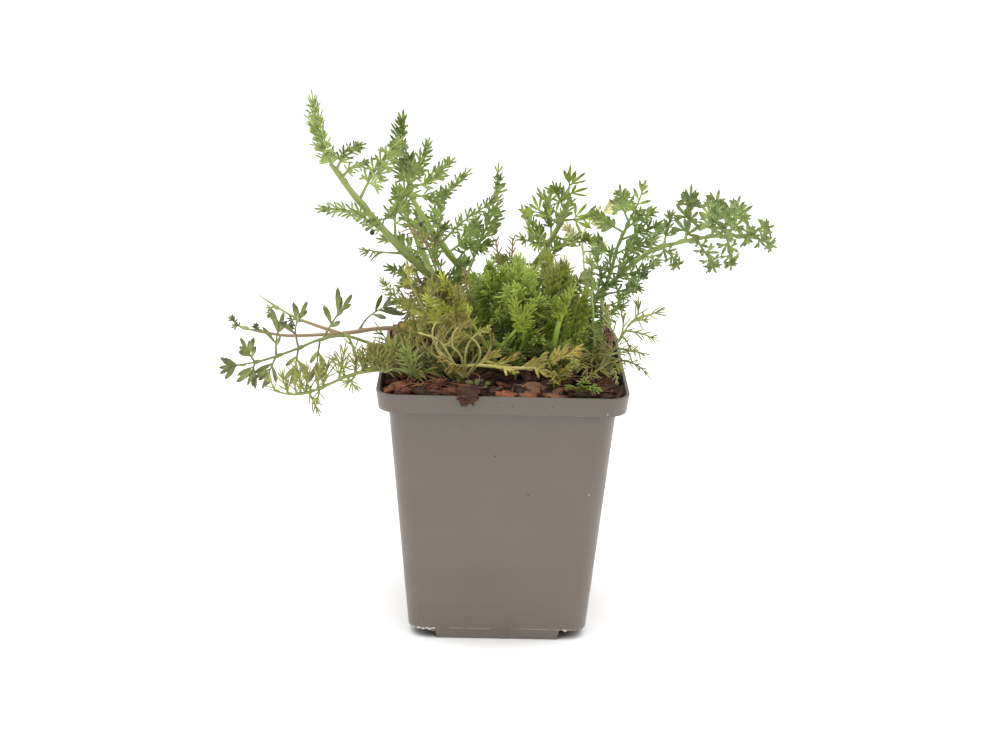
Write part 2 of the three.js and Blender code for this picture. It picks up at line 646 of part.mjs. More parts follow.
    leaves: [
      { from: 8.6, to: [[-83, -28, 97], [-84, -27, 99.5]], reach: 2.6 },
      { from: 8, to: [[-79, -27, 98], [-80, -26, 101]], reach: 3 },
      { from: 7.3, to: [[-73, -27, 98], [-75, -25, 104]], reach: 3.4 },
      { from: 6.8, to: [[-68, -29, 91], [-66, -31, 87]], reach: 2.6 },
      { from: 6, to: [[-64, -25, 99], [-63, -22, 104]], reach: 4 },
      { from: 5.4, to: [[-58, -24, 104], [-57, -22, 110]], reach: 4 },
      { from: 4.8, to: [[-53, -27, 104], [-51, -27, 108]], reach: 4 },
      { from: 3.8, to: [[-46, -26, 106], [-48, -26, 111]], reach: 4.5 },
      { from: 3.3, to: [[-40, -23, 107], [-41, -21, 113]], reach: 4.5 },
      { from: 2.7, to: [[-35, -22, 106], [-34, -20, 113]], reach: 4.5 },
      { from: 2.3, to: [[-30, -22, 104], [-27, -22, 109]], reach: 4.5 },
      { from: 2.2, to: [[-29, -27, 102], [-25, -28, 104]], reach: 4 },
    ],
  },
  {
    name: 'spray_right_low',
    colour: 0x93a84e,
    stem: [[35, -14, 86], [35, -14, 97], [36, -14, 101], [39, -14, 106], [42, -14, 111], [46, -14, 118],
      [51, -14, 121]],
    radii: [1.0, 0.6],
    cut: 'fine',
    leaves: [
      { from: 6, to: [[55, -13, 122], [58, -12, 123]], reach: 4 },
      { from: 5, to: [[49, -11, 121], [49, -10, 126]], reach: 4 },
      { from: 4.6, to: [[50, -16, 115], [56, -18, 113]], reach: 4 },
      { from: 3.6, to: [[46, -18, 109], [52, -22, 109]], reach: 4 },
      { from: 2.8, to: [[48, -20, 104.5], [53, -24, 101]], reach: 3 },
      { from: 4, to: [[38, -12, 118], [36, -10, 124]], reach: 4.5 },
      { from: 3.4, to: [[36, -16, 112], [33, -18, 117]], reach: 4.5 },
      { from: 2.8, to: [[33, -19, 107], [29, -21, 110]], reach: 4.5 },
      { from: 2.3, to: [[32, -20, 103], [26, -24, 104]], reach: 4.5 },
      { from: 2.1, to: [[34, -24, 103], [30, -33, 103]], reach: 4.5 },
    ],
  },
  {
    name: 'runner_yellow',
    colour: 0xc9b64e,
    stem: [[-16, -21, 86], [-16, -21, 97], [-15, -21, 101.5], [-11, -22, 103.4], [-4, -24, 103.8],
      [6, -25, 103.5], [14, -24, 104.5], [22, -22, 107]],
    radii: [1.0, 0.5],
    branches: [
      { points: [[-16, -21, 100], [-20, -20, 107], [-24, -19, 112], [-31, -18, 114]], radii: [0.8, 0.5] },
    ],
    cut: 'fine',
    leaves: [
      { from: 7, to: [[25, -21, 109], [28, -20, 111]], reach: 4 },
      { from: 6.2, to: [[17, -22, 109], [19, -21, 113]], reach: 4 },
      { from: 5.6, to: [[13, -26, 103.4], [16, -28, 103.4]], reach: 4 },
      { from: 5, to: [[9, -23, 107], [11, -22, 110]], reach: 4 },
      { from: 4.4, to: [[2, -26, 103], [5, -29, 103.4]], reach: 4 },
      { from: 4, to: [[-1, -22, 107], [1, -21, 110]], reach: 4 },
      { from: 3.3, to: [[-8, -20, 107], [-7, -19, 111]], reach: 4 },
      { from: 2.5, to: [[-19, -25, 105], [-23, -26, 109]], reach: 4 },
      { branch: 0, from: 3, to: [[-34, -18, 115], [-37, -18, 117]], reach: 3.4 },
      { branch: 0, from: 1.5, to: [[-18, -20, 112], [-16, -20, 116]], reach: 4 },
    ],
  },
  {
    name: 'leaves_old',
    colour: 0xa0a04a,
    stem: [[-23, -10, 86], [-23, -10, 98], [-24, -10, 105], [-26, -10, 112], [-29, -10, 120],
      [-33, -10, 128]],
    radii: [1.1, 0.7],
    leaves: [
      { from: 5, to: [[-35, -11, 132], [-34, -11, 137]], reach: 4 },
      { from: 4.4, to: [[-26, -8, 127], [-21, -8, 131]], reach: 4.5 },
      { from: 4.2, to: [[-34, -13, 122], [-38, -14, 125]], reach: 4.5 },
      { from: 3.4, to: [[-23, -8, 118], [-19, -8, 123]], reach: 5 },
      { from: 2.6, to: [[-19, -12, 113], [-15, -13, 120]], reach: 5.5 },
      { from: 2, to: [[-16, -11, 107], [-8, -11, 111]], reach: 5 },
      { from: 2.8, to: [[-31, -12, 112], [-35, -13, 117]], reach: 5 },
    ],
  },
  {
    name: 'shoot_rear_left',
    colour: 0x5f8a38,
    face: [0, 1, 0.3],
    stem: [[-18, 26, 84], [-18, 26, 97], [-20, 28, 108], [-25, 31, 119], [-31, 35, 130], [-36, 38, 139]],
    radii: [1.5, 0.8],
    leaves: [
      { from: 5, to: [[-40, 40, 148], [-42, 40, 156]], reach: 6 },
      { from: 4.4, to: [[-28, 40, 140], [-24, 43, 147]], reach: 6 },
      { from: 4, to: [[-40, 34, 134], [-48, 34, 136]], reach: 5.5 },
      { from: 3, to: [[-18, 36, 122], [-12, 38, 128]], reach: 6 },
      { from: 2.6, to: [[-32, 34, 116], [-41, 36, 117]], reach: 5.5 },
      { from: 2, to: [[-14, 36, 109], [-10, 43, 112]], reach: 5 },
      { from: 1.8, to: [[-28, 34, 106], [-34, 41, 107]], reach: 5 },
    ],
  },
  {
    name: 'shoot_rear_right',
    colour: 0x5f8a38,
    face: [0, 1, 0.3],
    stem: [[4, 33, 84], [4, 33, 97], [6, 35, 108], [10, 38, 119], [16, 42, 130], [20, 45, 138]],
    radii: [1.5, 0.8],
    leaves: [
      { from: 5, to: [[23, 47, 146], [23, 48, 154]], reach: 6 },
      { from: 4.4, to: [[10, 46, 139], [7, 48, 146]], reach: 6 },
      { from: 4, to: [[25, 42, 134], [33, 43, 137]], reach: 5.5 },
      { from: 3, to: [[3, 44, 122], [-4, 46, 127]], reach: 6 },
      { from: 2.6, to: [[19, 41, 116], [27, 44, 118]], reach: 5.5 },
      { from: 1.9, to: [[14, 42, 107], [21, 48, 108]], reach: 5 },
    ],
  },
];

function shootSolid(shoot, shootIndex) {
  const lines = [{ points: shoot.stem, radii: shoot.radii }, ...(shoot.branches ?? [])];
  const solids = lines.map((line, index) => (
    stemSolid(line.points, line.radii, index === 0 ? STEM_SIDES : BRANCH_SIDES, line.points.length - 1)
  ));
  shoot.leaves.forEach((leaf, leafIndex) => {
    const line = lines[leaf.branch === undefined ? 0 : leaf.branch + 1];
    const start = curveThrough(line.points).getPoint(Math.min(leaf.from / (line.points.length - 1), 0.985));
    const rachis = [start.toArray(), ...leaf.to];
    const whole = { face: shoot.face, cut: shoot.cut, ...leaf };
    solids.push(leafSolid(rachis, whole, LEAF_SEED_STEP * shootIndex + leafIndex + 1));
  });
  return fused(solids);
}

// Soil and mulch

function stemHoles(clearance, top) {
  const holes = SHOOTS.map((shoot) => {
    const [x, y, foot] = shoot.stem[0];
    const radius = (shoot.radii[0] + clearance) / Math.cos(Math.PI / HOLE_SIDES);
    const low = foot - clearance;
    const hole = new THREE.CylinderGeometry(radius, radius, top - low, HOLE_SIDES);
    hole.rotateX(Math.PI / 2);
    hole.translate(x, y, (low + top) / 2);
    return solidFromGeometry(hole);
  });
  return wasm.Manifold.union(holes);
}

function soilSolid() {
  const cornerFloor = FOOT_HEIGHT + FLOOR_THICKNESS + 0.1;
  const inset = POT_WALL + GAP + 0.1;
  const footHalf = BODY_HALF_LOW - FOOT_INSET - inset;
  const ledge = POT_HEIGHT - RIM_BAND_HEIGHT;
  const solid = stackedRings([
    footRing(footHalf, FOOT_SIDE_HALF - inset, FLOOR_THICKNESS + GAP),
    footRing(footHalf, FOOT_SIDE_HALF + FOOT_END_SLANT - inset, cornerFloor + GAP - 0.1),
    squareRing(bodyHalfAt(cornerFloor + GAP) - inset, SOIL_CORNER, cornerFloor + GAP),
    squareRing(bodyHalfAt(ledge) - inset, SOIL_CORNER, ledge),
    squareRing(bodyHalfAt(ledge) - inset - 0.6, SOIL_CORNER, SOIL_TOP),
  ]);
  return solid.subtract(stemHoles(STEM_HOLE_CLEARANCE, SOIL_TOP + 1));
}

function chipSolid(length, width, thickness, draw) {
  const near = 0.3 + 0.4 * draw();
  const far = 0.2 + 0.5 * draw();
  const outline = new THREE.Shape([
    new THREE.Vector2(-length / 2, -near * width / 2),
    new THREE.Vector2(length * 0.1, -width / 2),
    new THREE.Vector2(length / 2, -far * width / 2),
    new THREE.Vector2(length * 0.36, width / 2),
    new THREE.Vector2(-length * 0.4, width / 2),
  ]);
  const chip = new THREE.ExtrudeGeometry(outline, { depth: thickness, bevelEnabled: false });
  chip.translate(0, 0, -thickness / 2);
  return chip;
}

function placedChip(chip, turn, tilt, roll, at) {
  chip.rotateX(roll);
  chip.rotateY(tilt);
  chip.rotateZ(turn);
  chip.translate(...at);
  return solidFromGeometry(chip);
}

// A bent chip that lies over the front rim and hangs down in front of it, clear of the plastic.
function rimChipSolid() {
  const path = [[-12, -33, 97.4], [-12.4, -40, 101.6], [-12.8, -45.2, 101.4], [-13.2, -47.4, 97.4]];
  const halfWidths = [2.2, 2.8, 2.8, 1.8];
  const halfThickness = 0.8;
  const positions = [];
  path.forEach(([x, y, z], index) => {
    const lean = index < 2 ? [0, 0, 1] : [0, index === 2 ? -0.5 : -1, index === 2 ? 0.85 : 0.2];
    for (const [side, face] of [[-1, -1], [1, -1], [1, 1], [-1, 1]]) {
      positions.push(
        x + side * halfWidths[index],
        y + face * halfThickness * lean[1],
        z + face * halfThickness * lean[2],
      );
    }
  });
  const triangles = [0, 3, 2, 0, 2, 1, 12, 13, 14, 12, 14, 15];
  for (let step = 0; step + 1 < path.length; step += 1) {
    for (let corner = 0; corner < 4; corner += 1) {
      const next = (corner + 1) % 4;
      const low = 4 * step;
      triangles.push(low + corner, low + next, low + 4 + next);
      triangles.push(low + corner, low + 4 + next, low + 4 + corner);
    }
  }
  return solidFromLists(positions, triangles);
}

function mulchSolid() {
  const draw = seededDraw(MULCH_SEED);
  const base = stackedRings([
    squareRing(MULCH_HALF, MULCH_CORNER, MULCH_BOTTOM),
    squareRing(MULCH_HALF, MULCH_CORNER, MULCH_BASE_TOP),
  ]);
  const chips = [];
  const step = 2 * MULCH_HALF / CHIP_GRID;
  for (let row = 0; row < CHIP_GRID; row += 1) {
    for (let column = 0; column < CHIP_GRID; column += 1) {
      const size = 0.8 + 0.45 * draw();
      const chip = chipSolid(CHIP_LENGTH * size, CHIP_WIDTH * size, CHIP_THICKNESS, draw);
      const turn = Math.PI * draw();
      const tilt = CHIP_TILT * (draw() - 0.5);
      const roll = CHIP_ROLL * (draw() - 0.5);
      chips.push(placedChip(chip, turn, tilt, roll, [
        -MULCH_HALF + step * (column + 0.5 + CHIP_SHIFT * (draw() - 0.5)),
        -MULCH_HALF + step * (row + 0.5 + CHIP_SHIFT * (draw() - 0.5)),
        MULCH_BASE_TOP + CHIP_LIFT + CHIP_LIFT_SPREAD * draw(),
      ]));
    }
  }
  const fillRoom = stackedRings([
    squareRing(MULCH_HALF, MULCH_CORNER, MULCH_BOTTOM),
    squareRing(MULCH_HALF, MULCH_CORNER, POT_HEIGHT + 4),
  ]);
  const inside = wasm.Manifold.union(chips).intersect(fillRoom);
  const holes = stemHoles(MULCH_HOLE_CLEARANCE, POT_HEIGHT + 5);
  return largestBody(fused([base, inside, rimChipSolid()]).subtract(holes).simplify(0.02));
}

const group = new THREE.Group();
group.name = 'potted_fine_leaved_water_dropwort';
group.add(meshOf('pot', potSolid(), 0x82796f, 0.55));
group.add(meshOf('soil', soilSolid(), 0x2e2620, 0.95));
group.add(meshOf('bark_mulch', mulchSolid(), 0x6b4230, 0.85));
SHOOTS.forEach((shoot, index) => {
  group.add(meshOf(shoot.name, shootSolid(shoot, index), shoot.colour, 0.6));
});

export default group;
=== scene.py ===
import math
import random

import bmesh
import bpy
from mathutils import Matrix, Vector


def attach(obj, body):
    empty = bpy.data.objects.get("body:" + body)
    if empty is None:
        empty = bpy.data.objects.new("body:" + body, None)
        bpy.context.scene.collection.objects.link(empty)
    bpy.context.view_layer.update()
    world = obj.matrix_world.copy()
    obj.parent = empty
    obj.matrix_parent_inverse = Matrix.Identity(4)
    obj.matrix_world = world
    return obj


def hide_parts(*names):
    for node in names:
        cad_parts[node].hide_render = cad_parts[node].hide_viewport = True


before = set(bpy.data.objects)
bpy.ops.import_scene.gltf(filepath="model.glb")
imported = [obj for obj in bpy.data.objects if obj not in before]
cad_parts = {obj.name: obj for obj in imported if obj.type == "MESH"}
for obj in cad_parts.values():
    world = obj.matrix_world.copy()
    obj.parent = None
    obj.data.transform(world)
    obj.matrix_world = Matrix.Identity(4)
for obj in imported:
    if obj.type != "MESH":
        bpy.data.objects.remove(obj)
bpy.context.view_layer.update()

MM = 0.001
FRONT = Vector((0.0, -1.0, 0.0))

# Pot, in millimetres
POT_HEIGHT = 99.0
POT_WALL = 1.2
RIM_HALF_TOP = 45.0
RIM_HALF_LOW = 44.2
RIM_BAND = 6.8
BODY_HALF_TOP = 40.8
BODY_HALF_LOW = 33.2
BODY_CORNER = 7.0
FOOT_HEIGHT = 3.9
FOOT_HALF = 32.8
FOOT_SIDE_HALF = 22.3
FOOT_SLANT = 1.2
FOOT_OVERLAP = 0.4
FLOOR_TOP = 5.5
FOOT_FLOOR = 1.6
RECESS_OVERCUT = 1.0
DRAIN_OFFSET = 26.5
DRAIN_RADIUS = 2.4
DRAIN_MIDDLE = 4.8
DRAIN_DEPTH = 8
EDGE_ROUND = 0.4


# Work bench

def clear_bench():
    """Leaves edit mode and lets go of everything."""
    if bpy.context.object is not None and bpy.context.object.mode != "OBJECT":
        bpy.ops.object.mode_set(mode="OBJECT")
    bpy.ops.object.select_all(action="DESELECT")


def take_up(thing):
    """Makes one object the only one in hand."""
    clear_bench()
    thing.select_set(True)
    bpy.context.view_layer.objects.active = thing


def open_up(thing, kind="FACE"):
    """Enters edit mode with nothing selected."""
    take_up(thing)
    bpy.ops.object.mode_set(mode="EDIT")
    bpy.ops.mesh.select_mode(type=kind)
    bpy.ops.mesh.select_all(action="DESELECT")


def pick(thing, kind, wanted):
    """Selects the faces, edges or corners whose middle and normal a rule wants; an edge gives its run."""
    bpy.ops.mesh.select_mode(type=kind)
    bpy.ops.mesh.select_all(action="DESELECT")
    mesh = bmesh.from_edit_mesh(thing.data)
    if kind == "FACE":
        for face in mesh.faces:
            face.select_set(wanted(face.calc_center_median(), face.normal))
    elif kind == "EDGE":
        for edge in mesh.edges:
            near, far = (corner.co for corner in edge.verts)
            edge.select_set(wanted((near + far) / 2, far - near))
    else:
        for corner in mesh.verts:
            corner.select_set(wanted(corner.co, corner.normal))
    mesh.select_flush_mode()
    bmesh.update_edit_mesh(thing.data)


def faces_up(middle, normal):
    return normal.z > 0.9


def faces_down(middle, normal):
    return normal.z < -0.9


def pick_all():
    bpy.ops.mesh.select_all(action="SELECT")


def middle_of_picked(thing):
    mesh = bmesh.from_edit_mesh(thing.data)
    places = [corner.co for corner in mesh.verts if corner.select]
    return sum(places, Vector()) / len(places)


def pull_out(move):
    bpy.ops.mesh.extrude_region_move(TRANSFORM_OT_translate={"value": tuple(move)})


def slide(move):
    bpy.ops.transform.translate(value=move)


def scale_picked(factors, centre=(0, 0, 0)):
    bpy.ops.transform.resize(value=tuple(factors), center_override=tuple(centre))


def roughen(distance, seed):
    """Moves each selected corner a little, by a seed of its own."""
    bpy.ops.transform.vertex_random(offset=distance, uniform=1.0, normal=0.0, seed=seed)


def close_up():
    """Leaves edit mode with nothing selected."""
    bpy.ops.mesh.select_mode(type="VERT")
    bpy.ops.mesh.select_all(action="DESELECT")
    bpy.ops.object.mode_set(mode="OBJECT")


def fix_place(thing):
    take_up(thing)
    bpy.ops.object.transform_apply(location=True, rotation=True, scale=True)


def lay_out(name, add_shape, scale, place=(0, 0, 0), turn=(0, 0, 0)):
    """A plane or cube of size one, stretched, turned and placed."""
    clear_bench()
    add_shape(size=1)
    thing = bpy.context.object
    thing.name = name
    thing.scale = scale
    thing.rotation_euler = turn
    thing.location = place
    fix_place(thing)
    return thing


def apply_modifier(thing, kind, **settings):
    take_up(thing)
    modifier = thing.modifiers.new(kind.title(), kind)
    for setting, value in settings.items():
        setattr(modifier, setting, value)
    bpy.ops.object.modifier_apply(modifier=modifier.name)


def weld(thing):
    open_up(thing)
    pick_all()
    bpy.ops.mesh.remove_doubles(threshold=1e-6)
    bpy.ops.mesh.normals_make_consistent(inside=False)
    close_up()


def gather(things, name):
    """Joins several objects into one and names it."""
    clear_bench()
    for thing in things:
        thing.select_set(True)
    bpy.context.view_layer.objects.active = things[0]
    bpy.ops.object.join()
    whole = bpy.context.view_layer.objects.active
    whole.name = name
    whole.data.name = name
    return whole


def copy_at(model, matrix):
    """One more of a modelled piece, with a mesh of its own, placed in that mesh."""
    copy = model.copy()
    copy.data = model.data.copy()
    copy.data.transform(matrix)
    bpy.context.scene.collection.objects.link(copy)
    return copy


def mark(thing, name, value):
    """Writes a number, or a number for each corner, that the finishes read."""
    layer = thing.data.attributes.get(name) or thing.data.attributes.new(name, "FLOAT", "POINT")
    count = len(thing.data.vertices)
    values = [value] * count if isinstance(value, (int, float)) else list(value)
    layer.data.foreach_set("value", values)


def within_one(value):
    return min(1.0, max(0.0, value))


def bin_models(models):
    for model in models:
        bpy.data.objects.remove(model)


def soften(thing, angle):
    take_up(thing)
    bpy.ops.object.shade_smooth_by_angle(angle=math.radians(angle))


def set_on_object(thing, slot, *nodes):
    """Rides the finished piece on the object and lets it stand for its CAD nodes."""
    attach(thing, "root")
    if nodes:
        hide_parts(*nodes)


def seeded_draw(seed):
    """The same run of numbers from 0 to 1 each time, so that leaves fall where their solids are."""
    state = seed & 0xFFFFFFFF

    def draw():
        nonlocal state
        state = (state + 0x6D2B79F5) & 0xFFFFFFFF
        mixed = state
        mixed = ((mixed ^ (mixed >> 15)) * (mixed | 1)) & 0xFFFFFFFF
        mixed ^= (mixed + ((mixed ^ (mixed >> 7)) * (mixed | 61) & 0xFFFFFFFF)) & 0xFFFFFFFF
        return ((mixed ^ (mixed >> 14)) & 0xFFFFFFFF) / 4294967296

    return draw


# Finishes

def colour(code):
    """A colour written as 0xRRGGBB, in linear light."""
    parts = [((code >> shift) & 255) / 255 for shift in (16, 8, 0)]
    return tuple(c / 12.92 if c <= 0.04045 else ((c + 0.055) / 1.055) ** 2.4 for c in parts) + (1.0,)


class Finish:
    """A material that is put together from its nodes."""

    def __init__(self, name, roughness, specular):
        self.material = bpy.data.materials.new(name)
        self.material.use_nodes = True
        self.nodes = self.material.node_tree.nodes
        self.links = self.material.node_tree.links
        self.shader = self.nodes["Principled BSDF"]
        self.shader.inputs["Roughness"].default_value = roughness
        self.shader.inputs["Specular IOR Level"].default_value = specular
        self.place = self.add("ShaderNodeTexCoord").outputs["Object"]

    def add(self, kind, **settings):
        node = self.nodes.new(kind)
        for setting, value in settings.items():
            setattr(node, setting, value)
        return node

    def give(self, socket, value):
        if isinstance(value, bpy.types.NodeSocket):
            self.links.new(value, socket)
        else:
            socket.default_value = value

    def axes(self):
        """The place along X, Y and Z."""
        node = self.add("ShaderNodeSeparateXYZ")
        self.give(node.inputs[0], self.place)
        return node.outputs

    def stretch(self, scale, place=None):
        node = self.add("ShaderNodeMapping")
        self.give(node.inputs["Vector"], place or self.place)
        node.inputs["Scale"].default_value = scale
        return node.outputs["Vector"]

    def grain(self, scale, detail=3.0, rough=0.5, place=None, warp=0.0):
        node = self.add("ShaderNodeTexNoise")
        self.give(node.inputs["Vector"], place or self.place)
        numbers = {"Scale": scale, "Detail": detail, "Roughness": rough, "Distortion": warp}
        for socket, number in numbers.items():
            node.inputs[socket].default_value = number
        return node.outputs["Fac"]

    def cells(self, scale):
        node = self.add("ShaderNodeTexVoronoi")
        self.give(node.inputs["Vector"], self.place)
        node.inputs["Scale"].default_value = scale
        return node.outputs["Distance"]

    def written(self, name):
        return self.add("ShaderNodeAttribute", attribute_name=name).outputs["Fac"]

    def reckon(self, kind, a, b=0.0):
        node = self.add("ShaderNodeMath", operation=kind)
        self.give(node.inputs[0], a)
        self.give(node.inputs[1], b)
        return node.outputs[0]

    def times(self, a, b):
        return self.reckon("MULTIPLY", a, b)

    def window(self, value, low, high, start=0.0, end=1.0):
        """Start below the low value, end above the high one, and a slope between them."""
        node = self.add("ShaderNodeMapRange")
        self.give(node.inputs["Value"], value)
        for socket, number in zip(("From Min", "From Max", "To Min", "To Max"), (low, high, start, end)):
            self.give(node.inputs[socket], number)
        return node.outputs["Result"]

    def steps(self, value, *stops):
        """Colours along a value: pairs of place and colour."""
        node = self.add("ShaderNodeValToRGB")
        bar = node.color_ramp.elements
        while len(bar) < len(stops):
            bar.new(0.5)
        for stop, (place, code) in zip(bar, stops):
            stop.position = place
            stop.color = colour(code)
        self.give(node.inputs["Fac"], value)
        return node.outputs["Color"]

    def blend(self, share, a, b):
        node = self.add("ShaderNodeMix", data_type="RGBA")
        self.give(node.inputs["Factor"], share)
        self.give(node.inputs[6], a)
        self.give(node.inputs[7], b)
        return node.outputs[2]

    def over(self, tint, share, code):
        """A colour laid over a tint."""
        return self.blend(share, tint, colour(code))

    def layer(self, tint, code, value, *limits):
        """A colour laid over a tint through a window of a value."""
        return self.over(tint, self.window(value, *limits), code)

    def relief(self, height, strength, distance):
        node = self.add("ShaderNodeBump")
        node.inputs["Strength"].default_value = strength
        node.inputs["Distance"].default_value = distance
        self.give(node.inputs["Height"], height)
        self.give(self.shader.inputs["Normal"], node.outputs["Normal"])

    def paint(self, tint):
        self.give(self.shader.inputs["Base Color"], tint)

    def dull(self, value, low, high):
        self.give(self.shader.inputs["Roughness"], self.window(value, 0.3, 0.7, low, high))

    def put_on(self, *things):
        for thing in things:
            thing.data.materials.clear()
            thing.data.materials.append(self.material)


# Pot

def block(name, half, low, high, corner=0, segments=1):
    """A square block, its upright edges rounded where a corner radius is given."""
    clear_bench()
    bpy.ops.mesh.primitive_cube_add(size=2 * half * MM, location=(0, 0, (low + high) / 2 * MM))
    thing = bpy.context.object
    thing.name = name
    thing.scale = (1, 1, (high - low) / (2 * half))
    fix_place(thing)
    if corner:
        open_up(thing)
        pick(thing, "EDGE", lambda middle, along: abs(along.z) > half * MM * 0.02 and abs(along.x) < 1e-6)
        bpy.ops.mesh.bevel(offset=corner * MM, segments=segments, affect="EDGES")
        close_up()
    return thing


def cut_or_join(thing, other, how):
    apply_modifier(thing, "BOOLEAN", object=other, operation=how, solver="EXACT")
    bpy.data.objects.remove(other)


def foot_bar(half, side, low, high, across):
    """One bar of the cross-shaped foot, its sides leaning out as they rise; across turns it by a quarter."""
    bar = block("foot_bar", half, low, high)
    open_up(bar)
    for level, reach in ((faces_down, side), (faces_up, side + FOOT_SLANT)):
        pick(bar, "FACE", level)
        share = reach / half
        scale_picked((1, share, 1) if across else (share, 1, 1))
    close_up()
    return bar


def drain_holes():
    holes = []
    for side in (-1, 1):
        for end in (-1, 1):
            bpy.ops.mesh.primitive_cylinder_add(
                vertices=28, radius=DRAIN_RADIUS * MM, depth=DRAIN_DEPTH * MM,
                location=(side * DRAIN_OFFSET * MM, end * DRAIN_OFFSET * MM, DRAIN_MIDDLE * MM),
            )
            holes.append(bpy.context.object)
    clear_bench()
    holes = gather(holes, "drain_cutters")
    fix_place(holes)
    return holes


def build_pot():
    """Body, stepped rim, hollow inside, cross-shaped foot and drain holes, from one block."""
    ledge = POT_HEIGHT - RIM_BAND
    pot = block("pot_shell", BODY_HALF_TOP, FOOT_HEIGHT, ledge, BODY_CORNER, 10)
    open_up(pot)

    def widen(factor):
        scale_picked((factor, factor, 1))

    pick(pot, "FACE", faces_down)
    widen(BODY_HALF_LOW / BODY_HALF_TOP)
    pick(pot, "FACE", faces_up)
    pull_out((0, 0, 0))
    widen(RIM_HALF_LOW / BODY_HALF_TOP)
    pull_out((0, 0, RIM_BAND * MM))
    widen(RIM_HALF_TOP / RIM_HALF_LOW)
    bpy.ops.mesh.inset(thickness=POT_WALL * MM)
    pull_out((0, 0, -(RIM_BAND - POT_WALL) * MM))
    widen((RIM_HALF_LOW - POT_WALL) / (RIM_HALF_TOP - POT_WALL))
    pull_out((0, 0, 0))
    inner_top = BODY_HALF_TOP - POT_WALL
    widen(inner_top / (RIM_HALF_LOW - POT_WALL))
    pull_out((0, 0, (FLOOR_TOP - ledge - POT_WALL) * MM))
    widen((BODY_HALF_LOW - POT_WALL) / inner_top)
    close_up()
    bars = (("UNION", 0.0, 0, FOOT_HEIGHT + FOOT_OVERLAP),
            ("DIFFERENCE", POT_WALL, FOOT_FLOOR, FLOOR_TOP + RECESS_OVERCUT))
    for how, wall, low, high in bars:
        for across in (False, True):
            cut_or_join(pot, foot_bar(FOOT_HALF - wall, FOOT_SIDE_HALF - wall, low, high, across), how)
    cut_or_join(pot, drain_holes(), "DIFFERENCE")
    weld(pot)
    apply_modifier(pot, "BEVEL", width=EDGE_ROUND * MM, segments=3, limit_method="ANGLE",
                   angle_limit=math.radians(40))
    soften(pot, 30)
    return pot


# Torn scraps of moulding edge along the foot of the body: place, turn, length and height
FLASH = (
    (-30.6, -31.7, 3.9, -0.62, 2.6, 1.0), (-27.6, -33.2, 3.9, -0.1, 3.6, 1.3),
    (-24.6, -33.4, 3.7, 0, 2.4, 0.8), (25.2, -33.3, 4.1, 0.05, 1.2, 0.6),
    (32.0, -30.6, 4.3, 0.8, 1.6, 0.6), (-33.4, 12, 4.1, 1.57, 3.2, 0.8),
    (33.4, -9, 4.1, 1.57, 2.2, 0.7),
)
FLASH_LEAN = math.radians(80)


def flash_sliver(row, seed):
    """One scrap, torn away along its lower side."""
    x, y, z, turn, length, height = row
    sliver = lay_out("flash_sliver", bpy.ops.mesh.primitive_plane_add, (length, height, 1), (x, y, z),
                     (FLASH_LEAN, 0, turn))
    open_up(sliver)
    pick_all()
    bpy.ops.mesh.subdivide(number_cuts=4)
    pick_all()
    roughen(0.32, seed)
    pick(sliver, "FACE", lambda middle, normal: middle.z < z and math.sin(9 * middle.x + seed) > 0.1)
    bpy.ops.mesh.delete(type="FACE")
    close_up()
    apply_modifier(sliver, "SOLIDIFY", thickness=0.14, offset=0)
    sliver.data.transform(Matrix.Scale(MM, 4))
    return sliver


def tear_flash():
    slivers = [flash_sliver(row, seed) for seed, row in enumerate(FLASH, 3)]
    finish = Finish("torn_plastic", 0.5, 0.5)
    finish.paint(finish.steps(finish.grain(700, 3), (0.35, 0x9d968c), (0.65, 0xe4e0d8)))
    finish.put_on(*slivers)
    set_on_object(gather(slivers, "torn_moulding_edge"), "pot")


# Specks on the front of the pot, in millimetres: x, height and radius
DIRT = ((-2.3, 74.9, 0.3), (10.0, 59.8, 0.26), (-1.7, 97.0, 0.2), (3.5, 95.6, 0.24), (17.6, 95.8, 0.18),
        (14.8, 94.6, 0.16), (-29.5, 6.6, 0.2), (-27.6, 8.4, 0.16), (-28.8, 9.4, 0.14), (-26.2, 5.8, 0.18),
        (26.3, 5.9, 0.16))
PALE_MARKS = ((32.0, 60.3, 0.2), (37.0, 93.2, 0.18))


